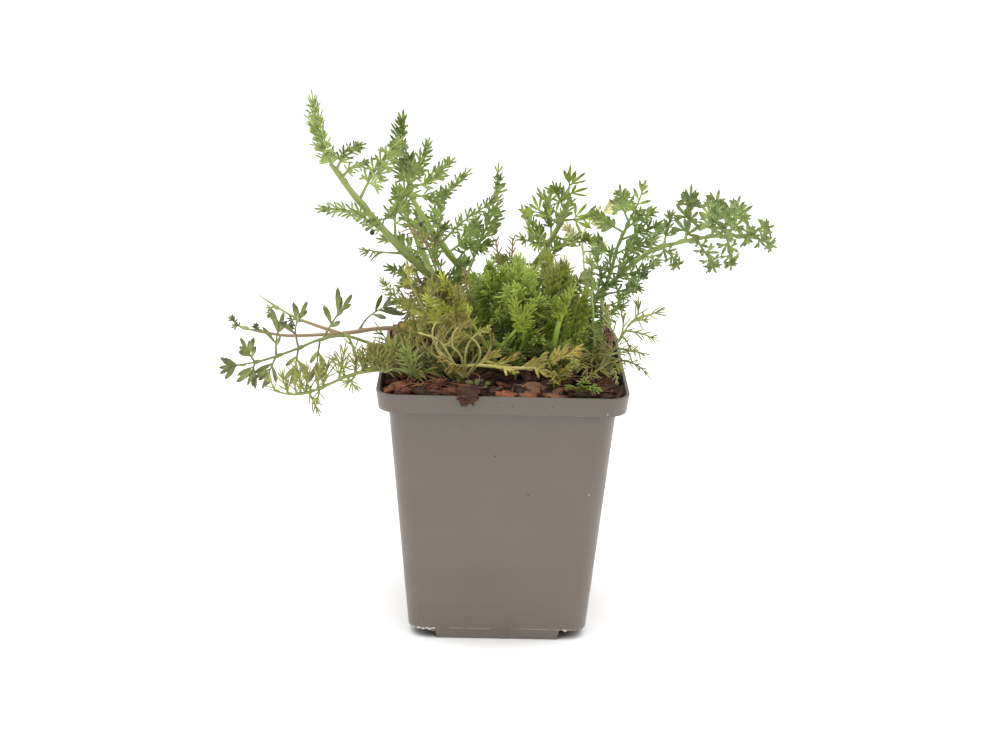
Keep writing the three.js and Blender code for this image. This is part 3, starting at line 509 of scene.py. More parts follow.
def pot_finish():
    """Smooth moulded plastic: faint flow bands, specks, scuffs under the rim and a pale seam at the foot;
    painted light towards the foot and painted shade towards the rim.
    """
    finish = Finish("grown_on_plastic", 0.4, 0.5)
    across, deep, height = finish.axes()

    def near(value, place, wide):
        """One on a place along an axis, fading to nothing at its width."""
        away = finish.reckon("ABSOLUTE", finish.reckon("SUBTRACT", value, place * MM))
        return finish.window(away, wide * 0.6 * MM, wide * MM, 1, 0)

    def broken(place, wide, grain, low, high, share):
        """A level line that comes and goes."""
        return finish.times(finish.times(near(height, place, wide), finish.window(grain, low, high)), share)

    bands = finish.grain(9, 2, place=finish.stretch((1, 1, 6)))
    tint = finish.blend(finish.window(bands, 0.3, 0.7), colour(0x5a514a), colour(0x5e564f))
    tint = finish.layer(tint, 0x6c635b, finish.grain(38, 4), 0.45, 0.75, 0, 0.2)
    tint = finish.layer(tint, 0x7c746b, finish.grain(900, 5, 0.65), 0.66, 0.74, 0, 0.4)
    # Painted light: the plastic is painted a little paler towards the foot, to lift the shade near the floor
    tint = finish.layer(tint, 0x8c837a, height, 0.0, POT_HEIGHT * MM, 0.1, 0.0)
    # Painted shade: darker from halfway up to the rim, for the soft shadow under the rim
    tint = finish.layer(tint, 0x463f39, height, 0.05, POT_HEIGHT * MM, 0.0, 0.24)
    splashes = finish.window(finish.grain(55, 3), 0.58, 0.66, 0, 0.35)
    tint = finish.over(tint, finish.times(finish.window(height, 0.004, 0.016, 1, 0), splashes), 0x463e37)
    seam = broken(FOOT_HEIGHT + 0.35, 0.3, finish.grain(260, 2), 0.36, 0.54, 0.36)
    tint = finish.over(tint, seam, 0xa59d94)
    scuffs = broken(POT_HEIGHT - RIM_BAND, 0.5, finish.grain(240, 3), 0.64, 0.72, 0.26)
    tint = finish.over(tint, scuffs, 0xa0978e)
    front = finish.window(deep, -0.03, -0.028, 1, 0)
    for marks, code in ((DIRT, 0x2a201a), (PALE_MARKS, 0xb9b2a8)):
        for x, z, radius in marks:
            spot = finish.times(near(across, x, radius * 1.4), near(height, z, radius * 1.4))
            tint = finish.over(tint, finish.times(spot, finish.times(front, 0.8)), code)
    finish.paint(tint)
    finish.dull(finish.grain(220, 4), 0.34, 0.48)
    finish.relief(finish.grain(1900, 3), 0.12, 0.00012)
    return finish


# Leaf cuts: each pinna is drawn flat once, in millimetres, from its stalk along X, and pulled out into lobes

def start_pinna(name, length, width):
    pinna = lay_out(name, bpy.ops.mesh.primitive_plane_add, (length, width, 1), (length / 2, 0, 0))
    open_up(pinna, "EDGE")
    return pinna


def draw_out(pinna, near, pulls):
    """Pulls out the free edge nearest a place: forward, sideways, up, the new width share and a turn."""
    bpy.ops.mesh.select_all(action="DESELECT")
    mesh = bmesh.from_edit_mesh(pinna.data)
    place = Vector(near)
    free = [edge for edge in mesh.edges if edge.is_boundary]
    edge = min(free, key=lambda e: ((e.verts[0].co + e.verts[1].co) / 2 - place).length)
    edge.select_set(True)
    bmesh.update_edit_mesh(pinna.data)
    for forward, sideways, up, share, *turn in pulls:
        pull_out((forward, sideways, up))
        middle = middle_of_picked(pinna)
        scale_picked((share, share, share), middle)
        if turn:
            bpy.ops.transform.rotate(value=turn[0], orient_axis="Z", center_override=tuple(middle))


# How a lobe grows out of its edge, pointed or spoon-shaped: shares of its length, width and rise
POINTED = ((0.32, 1.0, 1.0), (0.38, 0.88, 0.3), (0.3, 0.0, -0.6))
SPOON = ((0.24, 0.66, 0.5), (0.3, 1.5, 0.4), (0.3, 0.72, 0.0), (0.16, 0.0, -0.4))


def draw_lobe(pinna, near, axis, lean, length, width, rise, point, steps=POINTED):
    """A lobe pulled out of the edge nearest a place, leaning off the line that the edge stands on.

    Its width is a share of the edge's; it swells, narrows and ends in a point."""
    ahead, aside = math.cos(axis + lean) * length, math.sin(axis + lean) * length
    turn = math.copysign(math.pi / 2 - abs(lean), lean) / 2 if lean else 0.0
    pulls = []
    for number, (share, wide, lift) in enumerate(steps):
        wide = wide * width if number == 0 else wide or point
        pulls.append((ahead * share, aside * share, rise * lift, wide, *([turn] if number < 2 else [])))
    draw_out(pinna, near, pulls)


def finish_pinna(pinna, length, thickness):
    """Writes how far each corner is towards its tip, and gives the blade its thickness."""
    close_up()
    mark(pinna, "tip", [within_one((abs(c.co.y) * 0.75 + c.co.x) / length) for c in pinna.data.vertices])
    apply_modifier(pinna, "SOLIDIFY", thickness=thickness, offset=0)
    soften(pinna, 50)
    return pinna


def cut_pinna(name, cut, pairs, spread, bend):
    """A pinna with pairs of lobes on its midrib and one lobe at its end, and its drawn length."""
    stalk = cut["stalk"] * (0.7 + 0.25 * pairs)
    root, gap, rib, point = cut["root"], cut["gap"], cut["rib"], cut["point"]
    length, width = cut["lobe"]
    pinna = start_pinna(name, stalk, rib)
    if pairs:
        midrib = []
        for pair in range(pairs):
            midrib += [(root, 0, bend * (0.6 - 0.5 * pair), 1.15), (gap, 0, -0.2 * bend, 0.86)]
        draw_out(pinna, (stalk, 0, 0), midrib)
    end = stalk + pairs * (root + gap)
    steps = cut["steps"]
    draw_lobe(pinna, (end, 0, 0), 0.0, 0.0, length * 1.12, width / rib, -bend, point, steps)
    for pair in range(pairs):
        here = stalk + pair * (root + gap) + root / 2
        lobe = length * (1.0 if pairs == 1 else 1.05 - 0.2 * pair)
        for side in (-1, 1):
            lean = side * (spread - 0.1 * pair)
            draw_lobe(pinna, (here, side * rib * 0.54, bend), 0.0, lean, lobe, width / root, 0.14, point,
                      steps)
            if cut["teeth"] and pair == 0:
                ahead, aside = math.cos(lean), math.sin(lean)
                edge = (here + ahead * lobe * 0.5 - side * aside * width * 0.45,
                        aside * lobe * 0.5 + side * ahead * width * 0.45, bend + 0.15)
                draw_lobe(pinna, edge, lean, side * 0.75, lobe * 0.5, cut["teeth"], 0.05, point)
    return finish_pinna(pinna, end + length, cut["blade"]), end + length * 1.1


# How a kind of leaf is cut, in millimetres. Its pinna has a stalk, then on its midrib, rib wide, a root and
# a gap for each pair of lobes of a length and width. Pairs give its sizes and spreads its forms. The pinnae
# stand in pairs a spacing apart, lean forward by the angle, and are grown beyond the reach a leaf names.
CUT_PARTS = ("stalk", "root", "gap", "rib", "lobe", "point", "pairs", "spreads", "spacing", "angle", "grown")


def leaf_cut(*parts, **more):
    return {**dict(zip(CUT_PARTS, parts)), "blade": 0.34, "teeth": 0, "steps": POINTED, "fan": 0.34, **more}


LEAF_CUTS = {
    "needle": leaf_cut(0.7, 0.66, 0.3, 0.56, (3.5, 0.86), 0.12, (1, 2), (0.5, 0.36), 2.8, 0.64, 1.22),
    "fresh": leaf_cut(0.4, 0.42, 0.5, 0.42, (3.2, 0.5), 0.14, (1, 2, 3), (0.52, 0.38), 2.1, 0.62, 1.32),
    "lobed": leaf_cut(0.8, 1.1, 0.34, 0.85, (4.3, 1.3), 0.15, (1, 2), (0.7, 0.54), 4.3, 0.76, 1.2, teeth=0.8),
    "star": leaf_cut(0.9, 0.76, 0.42, 0.5, (4.3, 0.9), 0.12, (1, 2), (0.72, 0.55), 3.5, 0.76, 1.2, teeth=0.5),
    "open": leaf_cut(1.3, 0.75, 0.6, 0.46, (5.4, 1.3), 0.12, (0, 1), (0.68, 0.52), 4.0, 0.78, 1.25),
    "fine": leaf_cut(1.0, 0.36, 0.6, 0.32, (3.8, 0.36), 0.3, (1, 2), (0.55, 0.38), 2.2, 0.62, 1.3,
                     blade=0.26),
    "straw": leaf_cut(0.3, 0.6, 0.4, 0.5, (3.8, 0.85), 0.14, (1, 2), (0.32, 0.22), 2.2, 0.4, 1.15),
    "thread": leaf_cut(0.8, 0.5, 0.7, 0.42, (4.7, 0.52), 0.3, (0, 1), (0.56, 0.42), 2.4, 0.62, 1.35,
                       blade=0.3),
    "strap": leaf_cut(0.3, 0.7, 0.6, 0.58, (4.3, 1.0), 0.16, (0, 1), (0.44, 0.32), 2.3, 0.5, 1.15),
    "broad": leaf_cut(0.7, 0.6, 0.5, 0.5, (5.4, 1.75), 0.2, (0,), (0.5, 0.36), 4.0, 0.66, 1.5, steps=SPOON,
                      fan=0.52),
}
PINNA_BENDS = (0.12, 0.34)


def draw_pinnae():
    """Every pinna model, by cut: pairs of a piece and its drawn length, in each size and in both forms."""
    models = {}
    for kind, cut in LEAF_CUTS.items():
        models[kind] = [[cut_pinna(f"{kind}_pinna_{size}_{form}", cut, pairs, spread, bend)
                         for form, (spread, bend) in enumerate(zip(cut["spreads"], PINNA_BENDS))]
                        for size, pairs in enumerate(cut["pairs"])]
    return models


# Curves through a shoot's points

def curve_place(points, u):
    """The place on the smooth line through the points, u from 0 at the first to 1 at the last."""
    last = len(points) - 1
    step = min(int(u * last), last - 1)
    share = u * last - step
    near, far = Vector(points[step]), Vector(points[step + 1])
    before = Vector(points[step - 1]) if step > 0 else 2 * near - far
    after = Vector(points[step + 2]) if step + 2 <= last else 2 * far - near
    out, into = (far - before) / 2, (after - near) / 2
    return (near + out * share + (3 * (far - near) - 2 * out - into) * share ** 2
            + (2 * (near - far) + out + into) * share ** 3)


def curve_run(points, count):
    return [curve_place(points, index / (count - 1)) for index in range(count)]


class Line:
    """A smooth line with places by share of its length."""

    def __init__(self, points, count=61):
        self.places = curve_run(points, count)
        self.runs = [0.0]
        for near, far in zip(self.places, self.places[1:]):
            self.runs.append(self.runs[-1] + (far - near).length)
        self.length = self.runs[-1]

    def at(self, share):
        goal = within_one(share) * self.length
        index = 1
        while index < len(self.runs) - 1 and self.runs[index] < goal:
            index += 1
        part = (goal - self.runs[index - 1]) / max(self.runs[index] - self.runs[index - 1], 1e-9)
        return self.places[index - 1].lerp(self.places[index], part)

    def along(self, share):
        return (self.at(min(share + 0.02, 1.0)) - self.at(max(share - 0.02, 0.0))).normalized()


def reach_share(u):
    """How far the pinnae reach along a leaf, beside its own reach: most a little above its foot."""
    return 1.26 * (0.75 + 0.9 * u) * (1 - 0.93 * u) ** 0.75


# Stems and leaf stalks

def tubes(name, runs, quarter_steps):
    """Round stalks along lines of places, each with its own radii, as one closed mesh."""
    clear_bench()
    bpy.ops.curve.primitive_nurbs_path_add()
    stalk = bpy.context.object
    stalk.name = name
    shape = stalk.data
    shape.splines.clear()
    shape.dimensions = "3D"
    shape.bevel_depth = MM
    shape.bevel_resolution = quarter_steps
    shape.use_fill_caps = True
    for places, radii in runs:
        spline = shape.splines.new("POLY")
        spline.points.add(len(places) - 1)
        for point, place, radius in zip(spline.points, places, radii):
            point.co = (*(place * MM), 1)
            point.radius = radius
    take_up(stalk)
    bpy.ops.object.convert(target="MESH")
    stalk = bpy.context.object
    weld(stalk)
    soften(stalk, 60)
    return stalk


# Shoots, in millimetres

THICK_STALK = 0.8
THIN_STALK = 0.55


def leaf(start, reach, *to, **more):
    """A leaf: where it leaves the stem, counted along the stem's points, its reach, and the way to its tip.

    More may say: its branch, the bare share of its stalk, its cut, its pinnae's angle."""
    return {"from": start, "reach": reach, "to": to, **more}


def shoot(name, radii, tints, stem, *leaves, **more):
    """A shoot: radii at foot and top; tints of leaf shade, leaf light, lobe tips, stem foot and stem top.

    More may say what its leaves share, how many companions each has, its branches and where it is sunned."""
    stalk = THICK_STALK if radii[0] > 1.1 else THIN_STALK
    plant = {"name": name, "radii": radii, "stalk": stalk, "tints": tints, "stem": stem, "leaves": leaves}
    return {**plant, **more}


SHOOTS = (
    shoot(
        "shoot_left_tall", (1.7, 1.0), (0x68763a, 0x9ba966, 0x4b4a33, 0x5e6828, 0x7a8446),
        ((-9, 2, 84), (-9, 2, 98), (-11, 2, 104), (-16, 3, 112), (-26, 2, 128), (-38, -2, 141),
         (-53, -8, 160), (-63, -12, 174)),
        leaf(7, 6.4, (-67, -15, 187), (-69, -13.5, 198.5), bare=0.03, cut="fresh", angle=0.55),
        leaf(6.8, 4.5, (-57, -14, 179), (-51, -16, 182)), leaf(6.6, 3.4, (-55, -10, 173), (-50, -8, 174)),
        leaf(6, 6.5, (-49, -6, 168), (-44, -5, 175), (-38, -4, 182), cut="star"),
        leaf(5.3, 5.2, (-54, -10, 156), (-67, -13, 158), bare=0.1),
        leaf(5.15, 7, (-40, -2, 155), (-36, 0, 164), (-34, 2, 173), cut="star"),
        leaf(4.9, 4.5, (-44, -7, 141), (-52, -11, 143), bare=0.5),
        leaf(4.4, 5, (-37, -6, 134), (-43, -9, 136)),
        leaf(4, 3.4, (-35, -3, 120), (-40, -5, 124), (-45, -7, 131), bare=0.5),
        leaf(4.2, 4.5, (-33, 5, 120), (-37, 8, 109)),
    ),
    shoot(
        "shoot_left_second", (1.5, 0.9), (0x586a2c, 0x91a25a, 0x3f462b, 0x627326, 0x869644),
        ((-1, 15, 84), (-1, 15, 98), (-2, 15, 104), (-4, 14, 112), (-8, 13, 119), (-14, 12, 128),
         (-21, 10, 137), (-28, 9, 147), (-34, 8, 157), (-36, 8, 163)),
        leaf(9, 7, (-38, 8, 176), (-38, 6, 189), bare=0.05), leaf(8.9, 5, (-32, 13, 170), (-29, 16, 178)),
        leaf(8.8, 4.5, (-28, 12, 164), (-20, 16, 171)), leaf(8.4, 4, (-27, 14, 157), (-21, 18, 159)),
        leaf(6.4, 5, (-25, 12, 154), (-14, 16, 167)), leaf(6.4, 4, (-15, 4, 151), (-3, 2, 160)),
        leaf(5, 5.5, (-7, 16, 146), (-4, 19, 156), (-3, 20, 168)),
        leaf(5.6, 6, (-13, 4, 141), (-7, -1, 141)), leaf(6, 6, (-14, 16, 142), (-10, 20, 148)),
        leaf(6.1, 6, (-27, 5, 139), (-24, 1, 147)), leaf(7.3, 3.4, (-34, 12, 147), (-37, 13, 149)),
    ),
    shoot(
        "bush_left", (1.5, 1.1), (0x566a22, 0xaabd52, 0x9aa658, 0x8a9e3f, 0xaabe57),
        ((-4, 7, 84), (-4, 7, 99), (-4, 8, 105), (-5, 8, 112), (-6, 6, 120)),
        leaf(3.4, 6, (-10, 1, 117), (-13, -2, 123)), leaf(3.8, 6, (-9, 3, 125), (-12, 2, 132)),
        leaf(4, 6, (-6, 6, 127), (-5, 6, 136)), leaf(3.9, 6.5, (-2, 3, 127), (0, 0, 135)),
        leaf(3.2, 6, (-2, -4, 116), (-1, -10, 120)),
        cut="fresh", companions=4,
    ),
    shoot(
        "bush_middle", (1.6, 1.3), (0x5a6d25, 0xabbd56, 0xa3b062, 0x90a341, 0xadc05a),
        ((8, 3, 84), (8, 3, 99), (8, 3, 104), (8, 3, 112), (8, 2, 120)),
        leaf(4, 6.5, (7, -2, 124), (4, -6, 130)), leaf(4, 6.5, (8, 2, 127), (9, 2, 135)),
        leaf(3.7, 6.5, (11, -3, 120), (13, -8, 126)), leaf(3.9, 6, (6, 6, 130), (5, 9, 138)),
        leaf(2.3, 5.5, (4, -5, 108), (1, -12, 112)), leaf(2.4, 5.5, (12, -6, 108), (13, -14, 113)),
        cut="fresh", companions=4,
    ),
    shoot(
        "bush_right", (1.6, 1.2), (0x566527, 0xa4b251, 0x97865c, 0x869640, 0xa6b557),
        ((19, 8, 84), (19, 8, 99), (19, 8, 105), (20, 7, 112), (20, 6, 121)),
        leaf(4, 6.5, (17, 6, 129), (15, 7, 140)), leaf(4, 6.5, (21, 5, 128), (22, 4, 137)),
        leaf(3.8, 6.5, (25, 4, 125), (30, 2, 132)), leaf(3.4, 6.5, (26, 2, 118), (32, -2, 122)),
        leaf(2.8, 5.5, (25, -1, 110), (29, -6, 113)), leaf(2.3, 5, (20, -4, 107), (21, -10, 110)),
        cut="fresh", companions=4,
    ),
    shoot(
        "shoot_back", (1.35, 0.6), (0x566820, 0x9fae55, 0x514b27, 0x4c4f18, 0x656e28),
        ((12, 25, 84), (12, 25, 97), (11, 26, 112), (11, 26, 127), (16, 26, 136), (21, 26, 145),
         (24, 26, 154)),
        leaf(6, 7, (24, 26, 160), (24, 26, 166), cut="open"),
        leaf(5, 6, (14, 27, 149), (7, 28, 150), cut="open"), leaf(4.2, 5, (11, 22, 139), (5, 18, 142)),
        leaf(5.2, 5.5, (17, 28, 152), (13, 30, 157), cut="open"),
        leaf(5.2, 6, (28, 28, 147), (35, 30, 148), cut="open"), leaf(4.5, 5, (27, 24, 139), (33, 22, 141)),
        leaf(5.6, 5, (20, 25, 156), (18, 24, 161)), leaf(3.2, 5, (5, 25, 130), (-2, 24, 133)),
    ),
    shoot(
        "leaf_pale", (0.6, 0.35), (0xc2c68f, 0xdfdfb8, 0xbaa880, 0xb8bd7e, 0xcfd4a0),
        ((34, 33, 84), (34, 33, 97), (33, 34, 112), (31, 34, 129), (30, 34, 140)),
        leaf(4, 6, (34, 35, 146), (42, 36, 151), cut="open"), leaf(3.5, 4.5, (26, 33, 139), (24, 32, 144)),
        leaf(3.3, 4, (36, 33, 134), (39, 32, 137)),
    ),
    shoot(
        "shoot_right_long", (1.2, 0.5), (0x5b6e37, 0x94a268, 0x585b38, 0x5f7030, 0x7d8b4a),
        ((28, 12, 84), (28, 12, 97), (30, 12, 108), (35, 11, 120), (43, 9, 130), (54, 7, 140), (64, 5, 144),
         (77, 4, 147), (88, 4, 147)),
        leaf(8, 4.5, (93, 3, 146.5), (99, 3, 144), bare=0.05),
        leaf(7.95, 4.5, (92, 2, 150), (97, 0, 152), bare=0.05), leaf(7.5, 7.2, (84, 7, 152), (86, 10, 159)),
        leaf(6.95, 8, (76, 2, 154), (77, 0, 163)), leaf(7.2, 6.6, (80, 0, 152), (82, -2, 160)),
        leaf(6.2, 7.4, (67.5, 6, 153), (68, 8, 163)),
        leaf(5.5, 4.5, (60, 9, 148), (62, 12, 154), bare=0.2, cut="needle"),
        leaf(5.4, 4, (61, 3, 140), (64, 0, 136)), leaf(6.5, 4.5, (74, 1, 141), (77, -3, 136)),
        leaf(7.4, 4.5, (83, 1, 142), (83, -3, 137)),
        leaf(5, 4, (55, 5, 147), (58, 3, 151), bare=0.2, cut="needle"),
        leaf(4.7, 3.4, (53, 3, 139), (57, -1, 137), bare=0.2, cut="needle"),
        leaf(4.2, 4, (47, 2, 129), (51, -4, 128), bare=0.2, cut="needle"),
        cut="lobed", bare=0.06,
    ),
    shoot(
        "shoot_right_upright", (1.05, 0.5), (0x5f7637, 0x9aaa60, 0x494f30, 0x56672a, 0x6f7f3d),
        ((37, 19, 84), (37, 19, 97), (38, 20, 108), (38, 20, 118), (41, 20, 130), (43, 20, 139),
         (47, 20, 149)),
        leaf(6, 4.5, (50, 20, 156), (52, 20, 163), cut="open"), leaf(5.5, 5.5, (39, 22, 147), (34, 24, 151)),
        leaf(5.6, 5.5, (51, 17, 151), (56, 15, 153)),
        leaf(5.9, 6.5, (44, 21, 154), (43, 22, 160), cut="lobed"),
        leaf(5.2, 5.5, (53, 17, 146), (59, 14, 149)), leaf(4.6, 6, (38, 25, 136), (35, 28, 140)),
        leaf(4.6, 6, (49, 17, 140), (56, 14, 143)), leaf(4, 5, (46, 14, 134), (49, 10, 137)),
    ),
    shoot(
        "leaf_silvery", (0.7, 0.45), (0x6a7843, 0x99a669, 0x7c7a58, 0x6c7a3e, 0x86945a),
        ((33, -3, 84), (33, -3, 97), (34, -3, 105), (33, -4, 118), (32, -5, 126)),
        leaf(4, 5, (32, -5, 133), (31, -6, 141), bare=0.1),
    ),
    shoot(
        "runner_left", (1.2, 0.45), (0x525a33, 0x80884f, 0x4d4632, 0x7d6f4a, 0x8a8a58),
        ((-20, 5, 86), (-20, 5, 98), (-23, 4, 103), (-30, 4, 107), (-39, 4, 109), (-48, 3, 109),
         (-57, 1, 108), (-68, -1, 107.5), (-80, -3, 107.5), (-89, -4, 109), (-97, -4, 110.5)),
        leaf(10, 2.4, (-99, -4, 112), (-100, -4, 115)), leaf(9.2, 1.8, (-91, -5, 111), (-91, -5, 112.5)),
        leaf(5.7, 6.5, (-50, 7, 113), (-41, 9, 118), bare=0.45, cut="broad"),
        leaf(2.5, 2.4, (-87, 6, 115), (-87, 5, 112), branch=0),
        leaf(1.7, 2.4, (-79, 5, 111), (-79, 4, 108), branch=0),
        sunned=(-98, -80),
        branches=((((-61, 0, 108), (-71, 4, 110), (-80, 6, 113), (-92, 8, 120)), (0.8, 0.32)),),
    ),
    shoot(
        "leaf_left_broad", (0.8, 0.35), (0x5b6538, 0x8b9358, 0x544c3c, 0x566034, 0x6c7340),
        ((-35, -9, 86), (-35, -9, 97.5), (-37, -9, 101), (-41, -9, 104.2), (-50, -11, 108),
         (-58, -12, 110.5), (-67, -12, 109), (-76, -12, 105), (-88, -12, 100.5), (-97, -12, 98.5)),
        leaf(9, 4.7, (-100, -12, 98), (-102, -12, 98.5)), leaf(5.9, 6, (-62, -10, 116), (-57, -8, 123)),
        leaf(6, 5, (-68, -13, 101), (-68, -15, 95)), leaf(6.9, 6, (-76, -11, 113), (-73, -9, 120)),
        leaf(6.9, 5, (-76, -14, 99), (-77, -16, 95)), leaf(7.6, 5.4, (-83, -11, 109), (-81, -10, 116)),
        leaf(7.6, 5.6, (-85, -13, 98), (-87, -15, 93)), leaf(8.3, 5.4, (-93, -12, 103), (-95, -12, 107)),
        leaf(8.3, 5, (-92, -13, 96), (-93, -14, 94)),
        cut="broad",
    ),
    shoot(
        "spray_left_low", (0.8, 0.3), (0x636b32, 0x9b9f56, 0x7f6845, 0x6a7535, 0x848b4a),
        ((-32, -24, 86), (-32, -24, 97.5), (-34, -24, 100.6), (-39, -24, 102), (-46, -25, 101.7),
         (-55, -26, 100), (-65, -27, 95.5), (-71, -28, 93.5), (-77, -28, 93), (-85, -28, 95)),
        leaf(8.6, 3.5, (-83, -28, 97), (-84, -27, 99.5)), leaf(8, 4.1, (-79, -27, 98), (-80, -26, 101)),
        leaf(7.3, 4.6, (-73, -27, 98), (-75, -25, 104)), leaf(6.8, 3.5, (-68, -29, 91), (-66, -31, 87)),
        leaf(6, 5.4, (-64, -25, 99), (-63, -22, 104)), leaf(5.4, 5.4, (-58, -24, 104), (-57, -22, 110)),
        leaf(4.8, 5.4, (-53, -27, 104), (-51, -27, 108)), leaf(3.8, 6.1, (-46, -26, 106), (-48, -26, 111)),
        leaf(3.3, 6.1, (-40, -23, 107), (-41, -21, 113)), leaf(2.7, 6.1, (-35, -22, 106), (-34, -20, 113)),
        leaf(2.3, 6.1, (-30, -22, 104), (-27, -22, 109)), leaf(2.2, 5.4, (-29, -27, 102), (-25, -28, 104)),
        cut="thread", bare=0.05, companions=2,
    ),
    shoot(
        "spray_right_low", (0.42, 0.26), (0x595f2c, 0x8c8f4d, 0x6f5a3a, 0x636930, 0x7f8642),
        ((35, -14, 86), (35, -14, 97), (36, -14, 101), (39, -14, 106), (42, -14, 111), (46, -14, 118),
         (51, -14, 121)),
        leaf(6, 4, (55, -13, 122), (58, -12, 123)), leaf(5, 4, (49, -11, 121), (49, -10, 126)),
        leaf(4.6, 4, (50, -16, 115), (56, -18, 113)), leaf(3.6, 4, (46, -18, 109), (52, -22, 109)),
        leaf(2.8, 3, (48, -20, 104.5), (53, -24, 101)), leaf(4, 4.5, (38, -12, 118), (36, -10, 124)),
        leaf(3.4, 4.5, (36, -16, 112), (33, -18, 117)), leaf(2.8, 4.5, (33, -19, 107), (29, -21, 110)),
        leaf(2.3, 4.5, (32, -20, 103), (26, -24, 104)), leaf(2.1, 4.5, (34, -24, 103), (30, -33, 103)),
        cut="thread", companions=1,
    ),
    shoot(
        "runner_yellow", (0.8, 0.4), (0x84783a, 0xc4b866, 0x86643e, 0x8a8040, 0xb2a85c),
        ((-16, -21, 86), (-16, -21, 97), (-15, -21, 101.5), (-11, -22, 103.4), (-4, -24, 103.8),
         (6, -25, 103.5), (14, -24, 104.5), (22, -22, 107)),
        leaf(7, 4.4, (25, -21, 109), (28, -20, 111)), leaf(6.2, 4.4, (20, -22, 107.5), (23, -21, 110)),
        leaf(5.6, 4.4, (13, -26, 103.4), (16, -28, 103.4)),
        leaf(5, 4.4, (12, -23.5, 106), (15.5, -23, 108.5)), leaf(4.4, 4.4, (2, -26, 103), (5, -29, 103.4)),
        leaf(4, 4.4, (1.5, -23, 105.5), (5, -22.5, 108)), leaf(3.3, 4.4, (-5, -21.5, 106), (-2, -21, 108.5)),
        leaf(2.5, 4.4, (-19, -25, 105), (-23, -26, 109)),
        leaf(3, 3.4, (-34, -18, 115), (-37, -18, 117), branch=0, bare=0.2),
        leaf(1.5, 4.4, (-18, -20, 112), (-16, -20, 116), branch=0),
        cut="strap", bare=0.02,
        branches=((((-16, -21, 100), (-20, -20, 107), (-24, -19, 112), (-31, -18, 114)), (0.6, 0.4)),),
    ),
    shoot(
        "leaves_old", (0.8, 0.45), (0x6e7430, 0xa3a755, 0x7a6236, 0x6c6c30, 0x8b8a48),
        ((-23, -10, 86), (-23, -10, 98), (-24, -10, 105), (-26, -10, 112), (-29, -10, 120), (-33, -10, 128)),
        leaf(5, 4, (-35, -11, 132), (-34, -11, 137)), leaf(4.4, 4.5, (-26, -8, 127), (-21, -8, 131)),
        leaf(4.2, 4.5, (-34, -13, 122), (-38, -14, 125)), leaf(3.4, 5, (-23, -8, 118), (-19, -8, 123)),
        leaf(2.6, 5.5, (-19, -12, 113), (-15, -13, 120)), leaf(2, 5, (-16, -11, 107), (-8, -11, 111)),
        leaf(2.8, 5, (-31, -12, 112), (-35, -13, 117)),
    ),
    shoot(
        "shoot_rear_left", (1.5, 0.8), (0x536524, 0x859648, 0x525631, 0x65742a, 0x849244),
        ((-18, 26, 84), (-18, 26, 97), (-20, 28, 108), (-25, 31, 119), (-31, 35, 130), (-36, 38, 139)),
        leaf(5, 6, (-40, 40, 148), (-42, 40, 156)), leaf(4.4, 6, (-28, 40, 140), (-24, 43, 147)),
        leaf(4, 5.5, (-40, 34, 134), (-48, 34, 136)), leaf(3, 6, (-18, 36, 122), (-12, 38, 128)),
        leaf(2.6, 5.5, (-32, 34, 116), (-41, 36, 117)), leaf(2, 5, (-14, 36, 109), (-10, 43, 112)),
        leaf(1.8, 5, (-28, 34, 106), (-34, 41, 107)),
        companions=1, face=(0, 1, 0.3),
    ),
    shoot(
        "shoot_rear_right", (1.5, 0.8), (0x536524, 0x859648, 0x525631, 0x65742a, 0x849244),
        ((4, 33, 84), (4, 33, 97), (6, 35, 108), (10, 38, 119), (16, 42, 130), (20, 45, 138)),
        leaf(5, 6, (23, 47, 146), (23, 48, 154)), leaf(4.4, 6, (10, 46, 139), (7, 48, 146)),
        leaf(4, 5.5, (25, 42, 134), (33, 43, 137)), leaf(3, 6, (3, 44, 122), (-4, 46, 127)),
        leaf(2.6, 5.5, (19, 41, 116), (27, 44, 118)), leaf(1.9, 5, (14, 42, 107), (21, 48, 108)),
        companions=1, face=(0, 1, 0.3),
    ),
)


def leaf_finish(name, shade, light, tips):
    """Thin leaf: each pinna a little different, darker at its lobe tips, with a fine cell grain."""
    finish = Finish(name, 0.55, 0.35)
    for socket, value in (("Weight", 0.4), ("Radius", (0.9, 1.0, 0.55)), ("Scale", 0.0012)):
        finish.shader.inputs["Subsurface " + socket].default_value = value
    body = finish.blend(finish.written("tone"), colour(shade), colour(light))
    body = finish.layer(body, light, finish.grain(310, 3), 0.42, 0.72, 0, 0.5)
    end = finish.times(finish.window(finish.written("tip"), 0.66, 0.97),
                       finish.window(finish.grain(160, 2), 0.35, 0.6, 0.3, 1.0))
    body = finish.over(body, end, tips)
    body = finish.layer(body, shade, finish.cells(2400), 0.0, 0.5, 0.22, 0.0)
    finish.paint(body)
    finish.dull(finish.grain(700, 2), 0.45, 0.68)
    finish.relief(finish.grain(2600, 3), 0.3, 0.00008)
    return finish


# In metres: the height where the runner's blush ends, and where its side runner, which stays green, lies
BLUSH_ENDS = (0.1105, 0.1125)
SIDE_RUNNER_ENDS = (-0.063, -0.0605)
SIDE_RUNNER_ABOVE = (0.109, 0.11)


